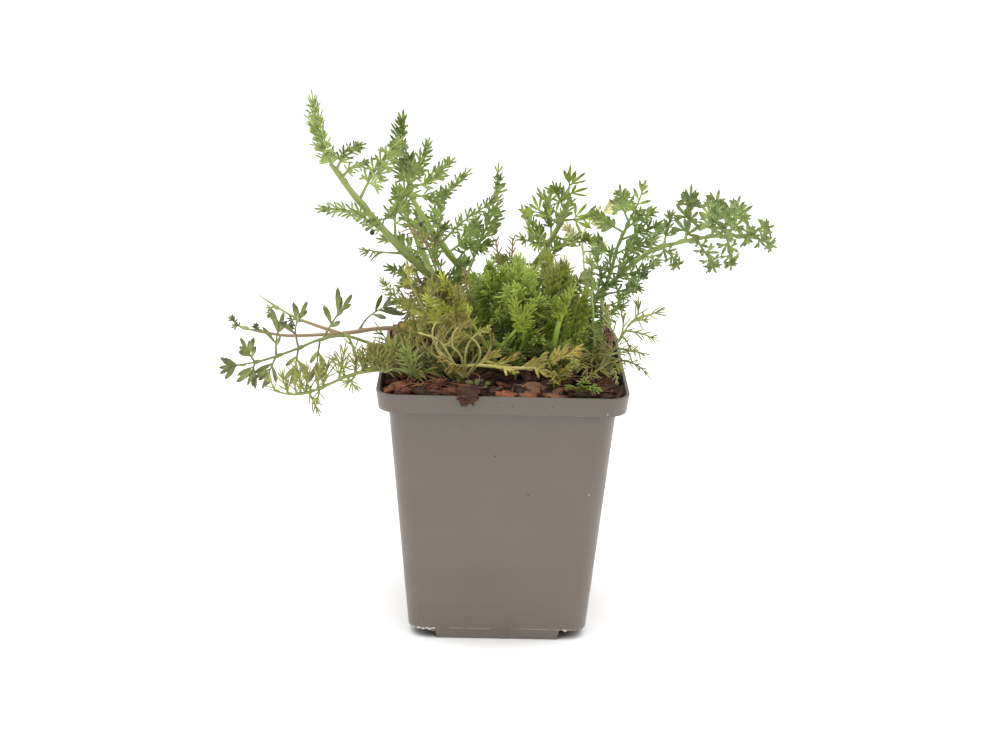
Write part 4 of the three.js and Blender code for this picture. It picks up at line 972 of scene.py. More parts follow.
def stem_finish(name, foot, top, sunned=None):
    """Juicy ridged stem: lengthwise streaks, lighter at the top, and a pinkish run where it was sunned."""
    finish = Finish(name, 0.42, 0.5)
    body = finish.blend(finish.written("rise"), colour(foot), colour(top))
    along = finish.add("ShaderNodeUVMap").outputs["UV"]
    streaks = finish.grain(6, 4, place=finish.stretch((0.6, 9, 1), place=along))
    body = finish.layer(body, 0xa9b868, streaks, 0.4, 0.7, 0, 0.26)
    blush = finish.grain(95, 3)
    body = finish.layer(body, 0x7d6b48, blush, 0.6, 0.8, 0, 0.45)
    if sunned:
        across, _, height = finish.axes()
        run = finish.times(finish.window(across, sunned[0] * MM, sunned[1] * MM),
                           finish.window(height, *BLUSH_ENDS, 1, 0))
        side_run = finish.times(finish.window(across, *SIDE_RUNNER_ENDS, 1, 0),
                                finish.window(height, *SIDE_RUNNER_ABOVE))
        body = finish.over(body, side_run, 0x8f9654)
        body = finish.over(body, finish.times(run, finish.window(blush, 0.3, 0.5, 0.4, 0.9)), 0x94785b)
    finish.paint(body)
    finish.dull(finish.grain(400, 3), 0.34, 0.55)
    finish.relief(streaks, 0.35, 0.0002)
    return finish


def radius_at(radii, u):
    return radii[0] + (radii[1] - radii[0]) * u


def swollen(radii, count, joints):
    """Radii along a stem, a little thicker where a leaf leaves it, and narrow at its very end."""
    sizes = []
    for index in range(count):
        u = index / (count - 1)
        knot = sum(math.exp(-((u - joint) * 34) ** 2) for joint in joints)
        taper = min(1.0, 0.45 + (1 - u) * 5.5)
        sizes.append(radius_at(radii, u) * (1 + 0.16 * min(knot, 1)) * taper)
    return sizes


def pinna_matrix(place, out, normal, length, width, lift):
    across = normal.cross(out).normalized()
    normal = out.cross(across)
    turn = Matrix((out * length, across * width, normal * lift)).transposed().to_4x4()
    return Matrix.Scale(MM, 4) @ Matrix.Translation(place) @ turn


def sheath(stem, u, start, towards, foot):
    """The clasping foot of a leaf stalk: it leaves the stem's side a little below the leaf's own place."""
    points, radii = stem
    radius = radius_at(radii, u)
    run = Line(points, 31)
    drop = min(5.5 * radius, 0.3 * u * run.length) / run.length
    below = curve_place(points, max(0.0, u - drop))
    along = (start - below).normalized()
    aside = towards - along * towards.dot(along)
    aside = aside.normalized() * radius if aside.length > 1e-3 else Vector((0, 0, 0))
    places = [below, below.lerp(start, 0.4) + aside * 0.4, below.lerp(start, 0.8) + aside * 0.75]
    return places, [radius * 0.7, max(foot, radius * 0.62), max(foot, radius * 0.5)]


# Seeds: a shoot's own draw, its leaves, and the leaves and own draw of a tuft
SHOOT_SEEDS = 900
LEAF_SEEDS = 100
TUFT_LEAF_SEEDS = 3000
TUFT_SEEDS = 50
LEAF_TURN_SIDEWAYS = 1.2
LEAF_TURN_UP = 0.9
PINNA_ANGLE_FALL = 0.3
PINNA_LIFT = 0.34
BARE_SHARE = 0.2
END_REACH = 0.7
STALK_RADIUS = 0.46
STALK_STEPS = 12


def grow_leaf(plant, leaf, seed, start, models, tone, stem=None, u=0.0):
    """One cut leaf: returns its stalk run and its pinnae."""
    draw = seeded_draw(seed)
    traits = {"cut": "needle", "face": FRONT, "bare": BARE_SHARE, "girth": 1.0, **plant, **leaf}
    kind = traits["cut"]
    cut = LEAF_CUTS[kind]
    line = Line([start, *traits["to"]])
    facing = Vector(traits["face"])
    facing.x += LEAF_TURN_SIDEWAYS * (draw() - 0.5)
    facing.z += LEAF_TURN_UP * (draw() - 0.35)
    bare = traits["bare"]
    reach = traits["reach"] * cut["grown"]
    end_length = reach * END_REACH
    end_share = max(1 - 0.6 * end_length / line.length, bare + 0.35)
    pairs = max(2, round((end_share - bare) * line.length / cut["spacing"]))
    fold = 0.25 + 0.5 * draw()
    pinnae = []

    def set_pinna(share, sign, angle, lift, length, twist):
        along = line.along(share)
        normal = (facing - along * facing.dot(along)).normalized()
        side = normal.cross(along)
        flat = along * math.cos(angle) + side * sign * math.sin(angle)
        out = flat * math.cos(lift) + normal * math.sin(lift)
        face = Matrix.Rotation(twist, 3, out) @ (normal - out * normal.dot(out)).normalized()
        forms = min(models[kind], key=lambda each: abs(math.log(each[0][1] / length)))
        pinna, drawn = forms[int(draw() * len(forms))]
        size = length / drawn
        broad = (0.5 + 0.5 * size) * (0.92 + 0.2 * draw())
        pinna = copy_at(pinna, pinna_matrix(line.at(share), out, face, size, broad, 0.7 + 0.5 * draw()))
        mark(pinna, "tone", within_one(tone + 0.5 * (draw() - 0.5)))
        pinnae.append(pinna)

    for pair in range(pairs):
        v = pair / pairs
        for sign in (1, -1):
            share = bare + (end_share - bare) * (pair + 0.3 + 0.14 * sign + 0.25 * draw()) / pairs
            length = reach * reach_share(v) * (0.82 + 0.36 * draw())
            angle = traits.get("angle", cut["angle"]) - PINNA_ANGLE_FALL * v + 0.36 * (draw() - 0.5)
            lift = fold + PINNA_LIFT * (2 * draw() - 1)
            set_pinna(share, sign, angle, lift, length, 0.8 * (draw() - 0.5))
    set_pinna(end_share, 1, 0.0, 0.05, end_length, 0.3 * (draw() - 0.5))
    for sign in (1, -1):
        set_pinna(max(bare, end_share - 0.06), sign, cut["fan"], 0.7 * fold, end_length * 0.85,
                  0.5 * (draw() - 0.5))
    foot, last = traits["stalk"], STALK_STEPS - 1
    places = [line.at(end_share * index / last) for index in range(STALK_STEPS)]
    radii = []
    for index in range(STALK_STEPS):
        radius = STALK_RADIUS - 0.22 * index / STALK_STEPS + (foot - STALK_RADIUS) * math.exp(-index * 0.7)
        radii.append(traits["girth"] * max(0.2, radius))
    if stem:
        clasp, clasp_radii = sheath(stem, u, start, line.along(0.1), foot)
        near = 0.6 * radius_at(stem[1], u) / line.length
        places = clasp + [line.at(near + (end_share - near) * index / last) for index in range(STALK_STEPS)]
        radii = clasp_radii + radii
    return (places, radii), pinnae


def stem_share(points, leaf):
    """How far up a line a leaf leaves it, from 0 to nearly 1."""
    return min(leaf["from"] / (len(points) - 1), 0.985)


def companion(plant, leaf, draw):
    """A leaf beside a drawn one: it leaves the stem a little lower and swings round it."""
    points = plant["stem"]
    u = stem_share(points, leaf)
    lower = max(0.42, u - 0.03 - 0.16 * draw())
    turn = Matrix.Rotation((0.5 + 0.9 * draw()) * (1 if draw() > 0.5 else -1), 3, "Z")
    start, origin = curve_place(points, lower), curve_place(points, u)
    size = 0.7 + 0.35 * draw()
    face = turn @ Vector(plant.get("face", FRONT))
    return {**leaf, "from": lower * (len(points) - 1), "reach": leaf["reach"] * (0.75 + 0.25 * draw()),
            "to": [start + turn @ (Vector(place) - origin) * size for place in leaf["to"]],
            "face": (face + 2 * FRONT) / 3}


def mark_rise(tube, low, high):
    """Writes how far up each corner of a stem is, which its tint follows."""
    mark(tube, "rise", [within_one((c.co.z / MM - low) / (high - low)) for c in tube.data.vertices])


def grow_shoot(plant, number, models):
    """A stem with its branches and leaves, as one piece that stands for the shoot's solid."""
    name = plant["name"]
    shade, light, tips, foot, top = plant["tints"]
    draw = seeded_draw(SHOOT_SEEDS + number)
    lines = [(plant["stem"], plant["radii"]), *plant.get("branches", ())]
    joints = [[] for _ in lines]
    stalk_runs, pinnae = [], []
    leaves = list(plant["leaves"])
    for _ in range(plant.get("companions", 0)):
        leaves += [companion(plant, drawn, draw) for drawn in plant["leaves"] if "branch" not in drawn]
    for leaf_number, drawn in enumerate(leaves):
        index = drawn.get("branch", -1) + 1
        points = lines[index][0]
        u = stem_share(points, drawn)
        joints[index].append(u)
        seed = LEAF_SEEDS * number + leaf_number + 1
        run, leaflets = grow_leaf(plant, drawn, seed, curve_place(points, u), models, draw(), lines[index], u)
        stalk_runs.append(run)
        pinnae += leaflets
    stem_runs = []
    for (points, radii), knots in zip(lines, joints):
        count = 7 * len(points)
        stem_runs.append((curve_run(points, count), swollen(radii, count, knots)))
    tubing = [tubes(name + "_stems", stem_runs, 4), tubes(name + "_stalks", stalk_runs, 1)]
    heights = [place.z for places, _ in stem_runs for place in places]
    for tube in tubing:
        mark_rise(tube, min(heights), max(heights))
    stem_finish(name + "_stem", foot, top, plant.get("sunned")).put_on(*tubing)
    leaf_finish(name + "_leaf", shade, light, tips).put_on(*pinnae)
    set_on_object(gather([*tubing, *pinnae], name + "_fine"), name, name)


# Undergrowth: small leaves and threads round the crown, which have no solids of their own

# Tufts scattered on a patch of ground: name, slot, cut, tints as for a shoot, seed, count, ground along X
# and along Y, heights, reach, stalk radius, lean and bare share
SCATTERED_TUFTS = (
    # These green leaves at the bush's foot have tints darkened as painted shade, for the shadow under the
    # bush
    ("basal_green", "bush_middle", "needle", (0x586926, 0x90a24e, 0x6a683c, 0x697832, 0x85934b), 3,
     13, (0, 24), (-17, -4), (6, 14), 5.0, 0.6, 0.5, 0.35),
    ("basal_side", "bush_right", "needle", (0x516229, 0x84944a, 0x545a33, 0x5f6e32, 0x7a8746), 9,
     16, (-14, 34), (0, 26), (8, 22), 5.4, 0.6, 0.4, 0.3),
    ("basal_tuft", "spray_left_low", "thread", (0x606f34, 0x98a45c, 0x6f6340, 0x6b7738, 0x8c9650), 4,
     15, (-41, -22), (-27, -4), (9, 17), 5.6, 0.42, 0.45, 0.2),
    ("basal_threads", "spray_right_low", "thread", (0x6a6a2a, 0xa4a04e, 0x7f6036, 0x707232, 0x959048), 5,
     6, (14, 31), (-32, -4), (5, 12), 5.2, 0.42, 0.7, 0.25),
    ("basal_sprays", "spray_right_low", "straw", (0x686e2c, 0x9c9e50, 0x7b6038, 0x6e7434, 0x8e9148), 15,
     5, (14, 31), (-30, -4), (5, 12), 4.6, 0.42, 0.7, 0.2),
    ("bush_filling", "bush_middle", "fresh", (0x66791f, 0xacc14d, 0x887a49, 0x788b33, 0x90a446), 16,
     22, (-9, 29), (-5, 16), (15, 33), 6.6, 0.6, 0.2, 0.3),
    ("basal_dead", "leaves_old", "fine", (0x4a3a26, 0x7a6746, 0x3f2d20, 0x55432c, 0x7a6846), 7,
     8, (-36, 36), (-22, 24), (4, 10), 3.6, 0.4, 0.8, 0.4),
    ("basal_stalks", "leaves_old", "fine", (0x6c6a34, 0x8c8a50, 0x6d4f38, 0x5a3e2e, 0x785b45), 10,
     9, (-30, -10), (-8, 8), (26, 44), 3.0, 0.5, 0.3, 0.7),
    ("basal_back", "shoot_rear_left", "needle", (0x4a5829, 0x768348, 0x484c2e, 0x5a6630, 0x757f45), 8,
     20, (-32, 34), (14, 36), (7, 20), 5.4, 0.6, 0.45, 0.3),
)
# Tufts drawn leaf by leaf: name, slot, cut, tints, seed, reach, bare share, how thick the stalks are beside
# the common one, and each leaf's way from its foot to its tip
DRAWN_TUFTS = (
    # The pale leaf stalks that curl out of the crown's left foot, each from its root
    ("basal_curls", "runner_yellow", "straw", (0x6c6c34, 0x97934f, 0x7a6038, 0x6a6838, 0x9b9656),
     6, 2.6, 0.8, 1.15, (
        ((-18.4, -22, 96.5), (-24.6, -21, 100.3), (-30.1, -20, 106.3), (-31.4, -18, 113.2),
         (-28.6, -16, 119.1)),
        ((-17.3, -21, 96.6), (-22.9, -19, 102.3), (-25.9, -16, 109), (-21.4, -13, 115.8)),
        ((-16.2, -20, 97.1), (-19.3, -18, 103.2), (-16.5, -15, 108.9), (-12.2, -12, 113.8)),
        ((-15.5, -19, 97.5), (-14.9, -17, 103.8), (-19.5, -14, 110.4), (-23.2, -13, 113.8)),
        ((-19.1, -21, 95.8), (-27.1, -22, 98.2), (-33, -20, 103.6), (-35.7, -18, 109.3)),
        ((-16.9, -19, 96), (-12, -17, 101.9), (-8.4, -14, 106.8)),
        ((-18.4, -20, 97), (-21.1, -17, 105.6), (-26.7, -15, 112.4), (-31.2, -14, 117)),
        ((-16.9, -22, 96.6), (-23.4, -23, 99.4), (-27.9, -21, 104), (-28.8, -19, 109.8), (-32.1, -17, 114)),
        ((-15.5, -20, 96.7), (-18.4, -21, 100.4), (-22.9, -19, 108), (-20.2, -16, 114), (-15.2, -14, 118.8)),
        ((-19.9, -19, 95.1), (-24.4, -16, 101), (-30.4, -13, 107.6), (-37.2, -10, 112.6)),
        ((-14.1, -22, 99), (-18, -23, 104.5), (-23, -23, 108.9), (-25.8, -22, 114.5), (-24.1, -21, 119.4),
         (-19.4, -20, 121)),
        ((-14.2, -22, 99), (-15.2, -23, 107.2), (-18.6, -23, 110.9), (-17.6, -22, 116.6),
         (-12.9, -21, 118.6)),
        ((-13.5, -22, 99), (-8.4, -23, 107), (-9.9, -23, 112.6), (-15, -22, 115.5)),
        ((-14.5, -22, 99), (-19.9, -24, 102.2), (-23.6, -24, 106.7), (-28.6, -23, 109.2)),
        ((-13.2, -22, 99), (-5.5, -22, 108.2), (-4.2, -21, 113.9)),
        ((-14.4, -23, 99), (-21.4, -24, 106), (-24.3, -23, 110.8), (-21.9, -22, 115.4)),
        ((-13.8, -22, 99), (-13.5, -23, 109.2), (-10.7, -22, 114.5), (-6.4, -21, 116.4)),
    )),
    # Young leaf stalks that stand clear in front of the bush
    ("basal_young", "bush_middle", "fresh", (0x5e701e, 0x9bab40, 0x86823f, 0x617b26, 0x8aa13e),
     11, 4.6, 0.62, (3.0, 1.9, 2.4, 1.6), (
        ((18.4, -8, 96.5), (18.8, -9, 107), (20, -10, 115.4), (22.6, -10, 123.1), (25.1, -8, 128.6)),
        ((-6.5, -8, 96.5), (-3.6, -9, 103.9), (1.7, -11, 110.3), (6.7, -11, 116.9), (10.2, -9, 123.3)),
        ((-1, -7, 96.5), (-4.7, -8, 104.3), (-11.6, -8, 114.9), (-17.6, -6, 123.4), (-23.3, -2, 129.4)),
        ((5.6, -7, 96.5), (6.3, -8, 104.5), (7.6, -10, 111.3), (6, -10, 118.1), (3.6, -8, 123.6)),
    )),
    # Fine dark leaves from the long right stem that fill the gap between it and the bush
    ("right_filling", "shoot_right_long", "needle", (0x576c38, 0x8ba05c, 0x414930, 0x5e7034, 0x7b8c48),
     14, 4.5, 0.25, 1.0, (
        ((32, 11.8, 112.5), (35.9, 8, 128.4), (32.4, 9, 141.5)),
        ((34.5, 11.1, 119), (42.5, 8, 131), (46.4, 8, 144)),
        ((36.5, 10.7, 122), (47.2, 6, 126), (53.4, 6, 133.2)),
        ((42.5, 9.1, 129.5), (50.5, 6, 133.1), (56.6, 6, 136.3)),
        ((31, 12, 110), (34, 4, 121), (30.3, 4, 132.4)),
        ((33.5, 11.4, 117), (42, 5, 120.5), (48.3, 4, 128.2)),
        ((30.3, 12, 108.5), (38, 3, 115.5), (45.3, 0, 121.9)),
        ((35.5, 10.9, 120.5), (38.7, 6, 130.5), (39.7, 6, 141.3)),
    )),
    # Leaves from the left stems that cover their foot
    ("left_filling", "shoot_left_tall", "needle", (0x566a2e, 0x92a455, 0x444b2c, 0x66762f, 0x859444),
     18, 5.6, 0.22, 1.0, (
        ((-20.5, 2.6, 119.5), (-22.9, -4, 133.3), (-26.3, -4, 142.3)),
        ((-16.5, 3, 112.8), (-19.1, -4, 123.9), (-28, -4, 127.9)),
        ((-18, 2.9, 115.5), (-17.4, -4, 129.7), (-15.3, -4, 138.8)),
        ((-14.5, 2.8, 110), (-12.5, -4, 122.9), (-8.3, -4, 132.1)),
    )),
    # Small leaves that rise from the low left spray, and one that hangs from it
    ("side_filling", "spray_left_low", "thread", (0x566a2e, 0x98a957, 0x6b5c38, 0x66762f, 0x8c9a48),
     21, 4.2, 0.25, 1.1, (
        ((-50, -25.5, 101.2), (-50.5, -24, 104), (-52.5, -22, 107.5)),
        ((-57, -26.2, 99.4), (-58, -24, 103), (-62, -21, 105.5)),
        ((-46, -25, 101.7), (-45, -22, 105.5), (-46, -19, 109)),
        ((-53, -25.8, 100.5), (-54.5, -27, 98.4), (-57.5, -28, 97)),
        ((-53, -25.9, 100.5), (-53.5, -22, 108), (-57, -20, 114)),
    )),
    # Yellow-green leaves on stalks of their own in front of the left stems
    ("sunny_leaves", "leaves_old", "needle", (0x7c882c, 0xbcc45a, 0x8a843f, 0x84903a, 0xaab455),
     19, 5.4, 0.5, 1.0, (
        ((-12.5, -9, 96.5), (-14.4, -10, 111.6), (-21.1, -10, 119.8), (-29.2, -10, 125.7)),
        ((-12, -8, 96.5), (-13.7, -10, 112.4), (-18.6, -10, 123.7), (-23.2, -10, 134.1)),
        ((-14, -10, 96.5), (-15.9, -10, 110), (-23.3, -10, 116.8), (-32.1, -10, 118.8)),
        ((-11, -9, 96.5), (-11.5, -10, 110.9), (-14.9, -10, 120), (-19.1, -10, 129)),
    )),
    # Brown thread-like stalks between the left stems, from stems or from the mulch
    ("brown_twigs", "leaves_old", "thread", (0x6c633c, 0x918658, 0x775540, 0x64503a, 0x8c7254),
     20, 3.4, 0.76, 1.1, (
        ((-18, 2.8, 115), (-27.2, -1, 141), (-35.5, -2, 149.6)),
        ((-21, 2.4, 121), (-28.5, -2, 142), (-32.2, -3, 148)),
        ((-24, 2.2, 125), (-25.9, -2, 138), (-27.1, -3, 146)),
        ((-24, -8, 96.5), (-26, -8, 118), (-35.5, -9, 130)),
        ((-20, -7, 96.5), (-22.5, -8, 120), (-26.5, -9, 131)),
        ((-26, -9, 96.5), (-29, -9, 116), (-34.5, -9, 125.5)),
        ((-17, -5, 96.5), (-20, -6, 118), (-21.5, -7, 131)), ((2, 11, 97), (-1, 12, 128), (-3.5, 12, 142)),
        ((6, 13, 97), (3, 14, 128), (3, 14, 142)),
    )),
    # The dark sprig that droops over the right rim
    ("rim_sprig", "spray_right_low", "needle", (0x4c5229, 0x777c44, 0x4e3a28, 0x5c5a33, 0x6b6a3c),
     12, 3.4, 0.25, 1.0, (
        ((36, -14, 96), (34.6, -15, 108.8), (37.4, -19, 104.8), (40, -22, 101.2)),
    )),
    # The small green sprig over the front rim
    ("front_sprig", "spray_right_low", "needle", (0x5f7224, 0x96a84c, 0x68663a, 0x6d7c32, 0x87954a),
     13, 3.6, 0.25, 1.0, (
        ((27, -33, 96.5), (25, -35.5, 100.5), (23, -38, 100.8)),
        ((27.5, -33, 96.5), (30, -36, 100.8), (34, -39, 100.6)),
        ((27, -33, 96.5), (28, -35, 102), (28.5, -37, 104)),
    )),
)
# Height of the leaves' feet, and the radius of a drawn leaf's stalk
GROUND = 96.5
DRAWN_STALK = 0.6


def scattered_leaves(seed, count, across, deep, heights, reach, stalk, lean, bare):
    """Leaves that rise from the mulch within one patch of ground and lean away from the crown."""
    draw = seeded_draw(seed)

    def between(low, high):
        return low + (high - low) * draw()

    leaves = []
    for _ in range(count):
        x, y = between(*across), between(*deep)
        height = between(*heights)
        away = Vector((x - 2, y - 6, 0))
        away = away.normalized() if away.length > 1 else Vector((1, 0, 0))
        away = Matrix.Rotation(1.6 * (draw() - 0.5), 3, "Z") @ away
        foot = Vector((x, y, GROUND))
        bow = away * height * lean
        way = [foot + Vector((0, 0, height * 0.55)) + bow * 0.3, foot + Vector((0, 0, height)) + bow]
        leaves.append({"foot": foot, "reach": reach * between(0.75, 1.15), "bare": bare, "stalk": stalk,
                       "to": way, "face": (away.x, away.y - 0.8, 0.4)})
    return leaves


def drawn_leaves(reach, bare, girths, ways):
    """Leaves along drawn ways; the girths are one for each leaf or one for all."""
    if not isinstance(girths, tuple):
        girths = (girths,) * len(ways)
    common = {"reach": reach, "bare": bare, "stalk": DRAWN_STALK}
    return [{"foot": Vector(foot), "to": way, "girth": girth, **common}
            for (foot, *way), girth in zip(ways, girths)]


def grow_tuft(name, slot, cut, tints, seed, leaves, models):
    """Leaves on their own stalks, joined as one piece."""
    draw = seeded_draw(seed + TUFT_SEEDS)
    stalk_runs, pinnae = [], []
    for number, leaf in enumerate(leaves):
        leaf_seed = TUFT_LEAF_SEEDS + LEAF_SEEDS * seed + number
        run, leaflets = grow_leaf({"cut": cut}, leaf, leaf_seed, leaf["foot"], models, draw())
        stalk_runs.append(run)
        pinnae += leaflets
    stalks = tubes(name + "_stalks", stalk_runs, 1)
    mark_rise(stalks, 96, 116)
    shade, light, tips, foot_tint, top_tint = tints
    stem_finish(name + "_stalk", foot_tint, top_tint).put_on(stalks)
    leaf_finish(name + "_leaf", shade, light, tips).put_on(*pinnae)
    set_on_object(gather([stalks, *pinnae], name), slot)


def grow_undergrowth(models):
    for name, slot, cut, tints, seed, *ground in SCATTERED_TUFTS:
        grow_tuft(name, slot, cut, tints, seed, scattered_leaves(seed, *ground), models)
    for name, slot, cut, tints, seed, *drawing in DRAWN_TUFTS:
        grow_tuft(name, slot, cut, tints, seed, drawn_leaves(*drawing), models)


# Soil and bark mulch

SOIL_TOP = 93.4
MULCH_TOP = 95.7
MULCH_HALF = 42.4
BED_HALF = 42.8
BED_CORNER = 6.6
CHIP_STRIPS = 4
CLEAR_OF_STEMS = 2.2
CHIP_SEEDS = 60
MULCH_SEED = 41
FIBRE_SEED = 17


def peat_finish():
    finish = Finish("damp_peat", 0.95, 0.2)
    crumbs = finish.grain(420, 6, 0.7)
    finish.paint(finish.steps(crumbs, (0.3, 0x120c09), (0.52, 0x2a1d15), (0.7, 0x4a3424)))
    finish.relief(crumbs, 0.8, 0.0006)
    return finish


def bark_finish():
    """Shredded bark: dark red-brown, fissured along the grain, with paler fibres and a few orange faces."""
    finish = Finish("bark_chips", 0.85, 0.22)
    chip_place = finish.add("ShaderNodeUVMap").outputs["UV"]
    body = finish.steps(finish.written("tone"), (0.0, 0x21150f), (0.3, 0x38241b), (0.6, 0x4d3024),
                        (0.8, 0x71422f), (0.9, 0x6b5242), (1.0, 0x8f5637))
    fibres = finish.grain(1.0, 6, 0.7, place=finish.stretch((0.5, 4.5, 1), place=chip_place), warp=0.8)
    fine_fibres = finish.grain(1.0, 4, 0.7, place=finish.stretch((1.4, 15, 1), place=chip_place), warp=0.5)
    patches = finish.grain(150, 5, 0.65)
    body = finish.layer(body, 0x120b08, fibres, 0.36, 0.5, 0.85, 0)
    body = finish.layer(body, 0x1c110c, fine_fibres, 0.34, 0.48, 0.7, 0)
    body = finish.layer(body, 0x96694d, fine_fibres, 0.56, 0.7, 0, 0.55)
    body = finish.layer(body, 0x1a100c, patches, 0.52, 0.68, 0, 0.75)
    finish.paint(body)
    finish.dull(finish.grain(300, 4), 0.68, 0.95)
    ridges = finish.reckon("ADD", fibres, finish.times(fine_fibres, 0.5))
    finish.relief(finish.reckon("ADD", ridges, finish.times(patches, 0.7)), 0.9, 0.0011)
    return finish


def bark_chip(name, length, width, thickness, taper, seed):
    """One flake of bark along X, in millimetres: ridged along its grain, bent, and splintered at its ends."""
    chip = lay_out(name, bpy.ops.mesh.primitive_cube_add, (length, width, thickness))
    open_up(chip)
    pick(chip, "EDGE", lambda middle, along: abs(along.x) > length * 0.5)
    bpy.ops.mesh.subdivide(number_cuts=5)
    pick(chip, "EDGE", lambda middle, along: abs(along.y) > width * 0.5)
    bpy.ops.mesh.subdivide(number_cuts=CHIP_STRIPS - 1)
    rule = random.Random(seed)
    strip = width / CHIP_STRIPS
    for row in range(CHIP_STRIPS + 1):
        line = row * strip - width / 2

        def on_line(place):
            return abs(place.y - line) < strip * 0.3

        pick(chip, "VERT", lambda place, normal: on_line(place) and place.z > 0)
        slide((0, 0, rule.uniform(-0.5, 0.6) * thickness * 0.4))
        for side in (-1, 1):
            pick(chip, "VERT", lambda place, normal: on_line(place) and side * place.x > length * 0.49)
            slide((side * rule.uniform(-0.5, 2.0), 0, rule.uniform(-0.3, 0.3)))
    for side in (-1, 1):
        pick(chip, "VERT", lambda place, normal: side * place.x > length * 0.3)
        scale_picked((1, taper[side > 0], 0.7), (side * length * 0.3, rule.uniform(-0.2, 0.2) * width, 0))
    pick(chip, "VERT", lambda place, normal: abs(place.x) < length * 0.25)
    slide((0, rule.uniform(-0.5, 0.5), rule.uniform(0.1, 0.7)))
    pick_all()
    roughen(0.26, seed)
    bpy.ops.uv.cube_project(cube_size=10.0)
    close_up()
    soften(chip, 28)
    return chip


# Length, width, thickness and the width left at both ends of each chip model
CHIP_FORMS = (
    (16, 5.0, 1.9, (0.6, 0.45)), (12, 6.0, 2.0, (0.75, 0.55)), (18, 3.6, 1.6, (0.5, 0.35)),
    (9, 4.6, 2.1, (0.8, 0.7)), (11, 2.8, 1.4, (0.5, 0.6)), (6, 3.0, 1.5, (0.8, 0.5)),
    (14, 2.1, 1.1, (0.6, 0.4)),
)
# Layers of chips: chips across, how far they stray, height, tilt and size
CHIP_LAYERS = (
    (9, 0.35, 96.0, 0.25, 1.0), (9, 0.45, 97.3, 0.42, 0.9), (9, 0.5, 98.3, 0.55, 0.7),
    (11, 0.5, 98.9, 0.7, 0.34),
)
# How far out and how high the chips of the layers and the single ones may reach
LAYER_LIMITS = (43.2, 101.2)
SINGLE_LIMITS = (43.4, 104.5)
# The chips that stand out at the front and in the corners: place, turn, tilt, roll, size, form and tone
SINGLED_CHIPS = (
    (-37.5, -35, 99.0, 0.5, -0.16, 0.5, 0.62, 0, 0.98), (-29, -38, 98.3, -0.35, 0.12, 0.7, 0.5, 1, 0.3),
    (-24, -36, 99.0, 0.9, 0.3, 0.3, 0.55, 3, 0.74), (-18, -39, 98.8, 0.3, 0.1, 0.6, 0.6, 3, 0.8),
    (-32, -27, 99.6, 1.2, -0.25, 0.5, 0.6, 4, 0.62), (37, -8, 101.2, 1.2, -0.35, 0.6, 0.8, 0, 0.8),
    (39.5, -15, 100.4, 1.7, 0.2, 0.9, 0.75, 1, 0.84), (35.5, -2, 102.0, 0.7, 0.3, 0.4, 0.7, 3, 0.8),
    (38.5, 3, 102.4, 1.4, -0.2, 0.7, 0.75, 0, 0.78), (39.5, 9, 103, 1.6, 0.15, -0.6, 0.8, 1, 0.82),
    (33, 1, 101, 0.2, 0.3, 0.5, 0.7, 4, 0.7), (38, 35, 101.6, 0.8, -0.3, 0.3, 0.9, 1, 0.85),
    (33, 38, 101.2, 0.1, 0.2, -0.4, 0.9, 0, 0.8), (40, 27, 101.4, 1.5, 0.2, 0.3, 0.9, 1, 0.8),
    (40.5, 18, 101.6, 1.3, -0.2, -0.3, 0.8, 3, 0.84), (35, 29, 101.8, 2.3, 0.25, 0.3, 0.8, 0, 0.76),
    (-38, 35, 101.2, 2.2, 0.3, 0.3, 0.9, 1, 0.85), (-40, 26, 101.2, 1.5, -0.2, 0.3, 0.9, 0, 0.8),
    (-40.5, 14, 101.2, 1.7, 0.2, -0.3, 0.8, 3, 0.86), (-33, 38, 100.9, 0.1, -0.2, 0.3, 0.9, 0, 0.7),
    (-39, 3, 101.0, 1.2, 0.25, 0.3, 0.75, 1, 0.8), (36, -20, 100.2, 0.9, 0.35, 0.2, 0.6, 2, 0.75),
    (31, -26, 99.8, -0.5, 0.2, 0.5, 0.55, 5, 0.68), (11, -34, 98.4, 0.05, 0.02, 0.5, 0.95, 1, 0.92),
    (1, -40, 98.0, -0.1, 0.0, 0.4, 0.7, 3, 1.0), (9, -41, 98.2, 0.15, 0.05, 0.4, 0.6, 3, 0.97),
    (17, -40.5, 98.3, 0.0, 0.05, 0.4, 0.8, 4, 0.95), (33, -36, 99.0, 0.5, -0.2, 0.3, 0.9, 0, 0.55),
    (38, -22, 99.4, 1.3, -0.1, 0.4, 0.9, 2, 0.5), (-22, -30, 99.2, 1.1, 0.2, 0.2, 0.8, 2, 0.7),
)


def lay_chip(model, place, turn, tilt, roll, size, limits, tone):
    """Lays one chip, shifted inwards and down until it is clear of the pot wall and under its top."""
    turned = Matrix.Rotation(turn, 4, "Z") @ Matrix.Rotation(tilt, 4, "Y") @ Matrix.Rotation(roll, 4, "X")
    chip = copy_at(model, Matrix.Scale(MM, 4) @ Matrix.Translation(place) @ turned @ Matrix.Scale(size, 4))
    half, top = limits
    corners = [c.co for c in chip.data.vertices]
    shift = [0.0, 0.0, min(0, top * MM - max(c[2] for c in corners))]
    for axis in (0, 1):
        over = max(c[axis] for c in corners) - half * MM
        under = min(c[axis] for c in corners) + half * MM
        shift[axis] = -max(over, 0) - min(under, 0)
    chip.data.transform(Matrix.Translation(shift))
    mark(chip, "tone", tone)
    return chip


def mulch_bed():
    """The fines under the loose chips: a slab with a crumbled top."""
    bed = block("mulch_bed", BED_HALF, SOIL_TOP + 0.2, MULCH_TOP + 0.4, BED_CORNER, 6)
    open_up(bed)
    pick(bed, "FACE", faces_up)
    bpy.ops.mesh.inset(thickness=3.0 * MM)
    for rise, share in ((0.4, 0.8), (-0.5, 0.7), (0.4, 0.5)):
        pull_out((0, 0, rise * MM))
        scale_picked((share, share, 1))
    close_up()
    return bed


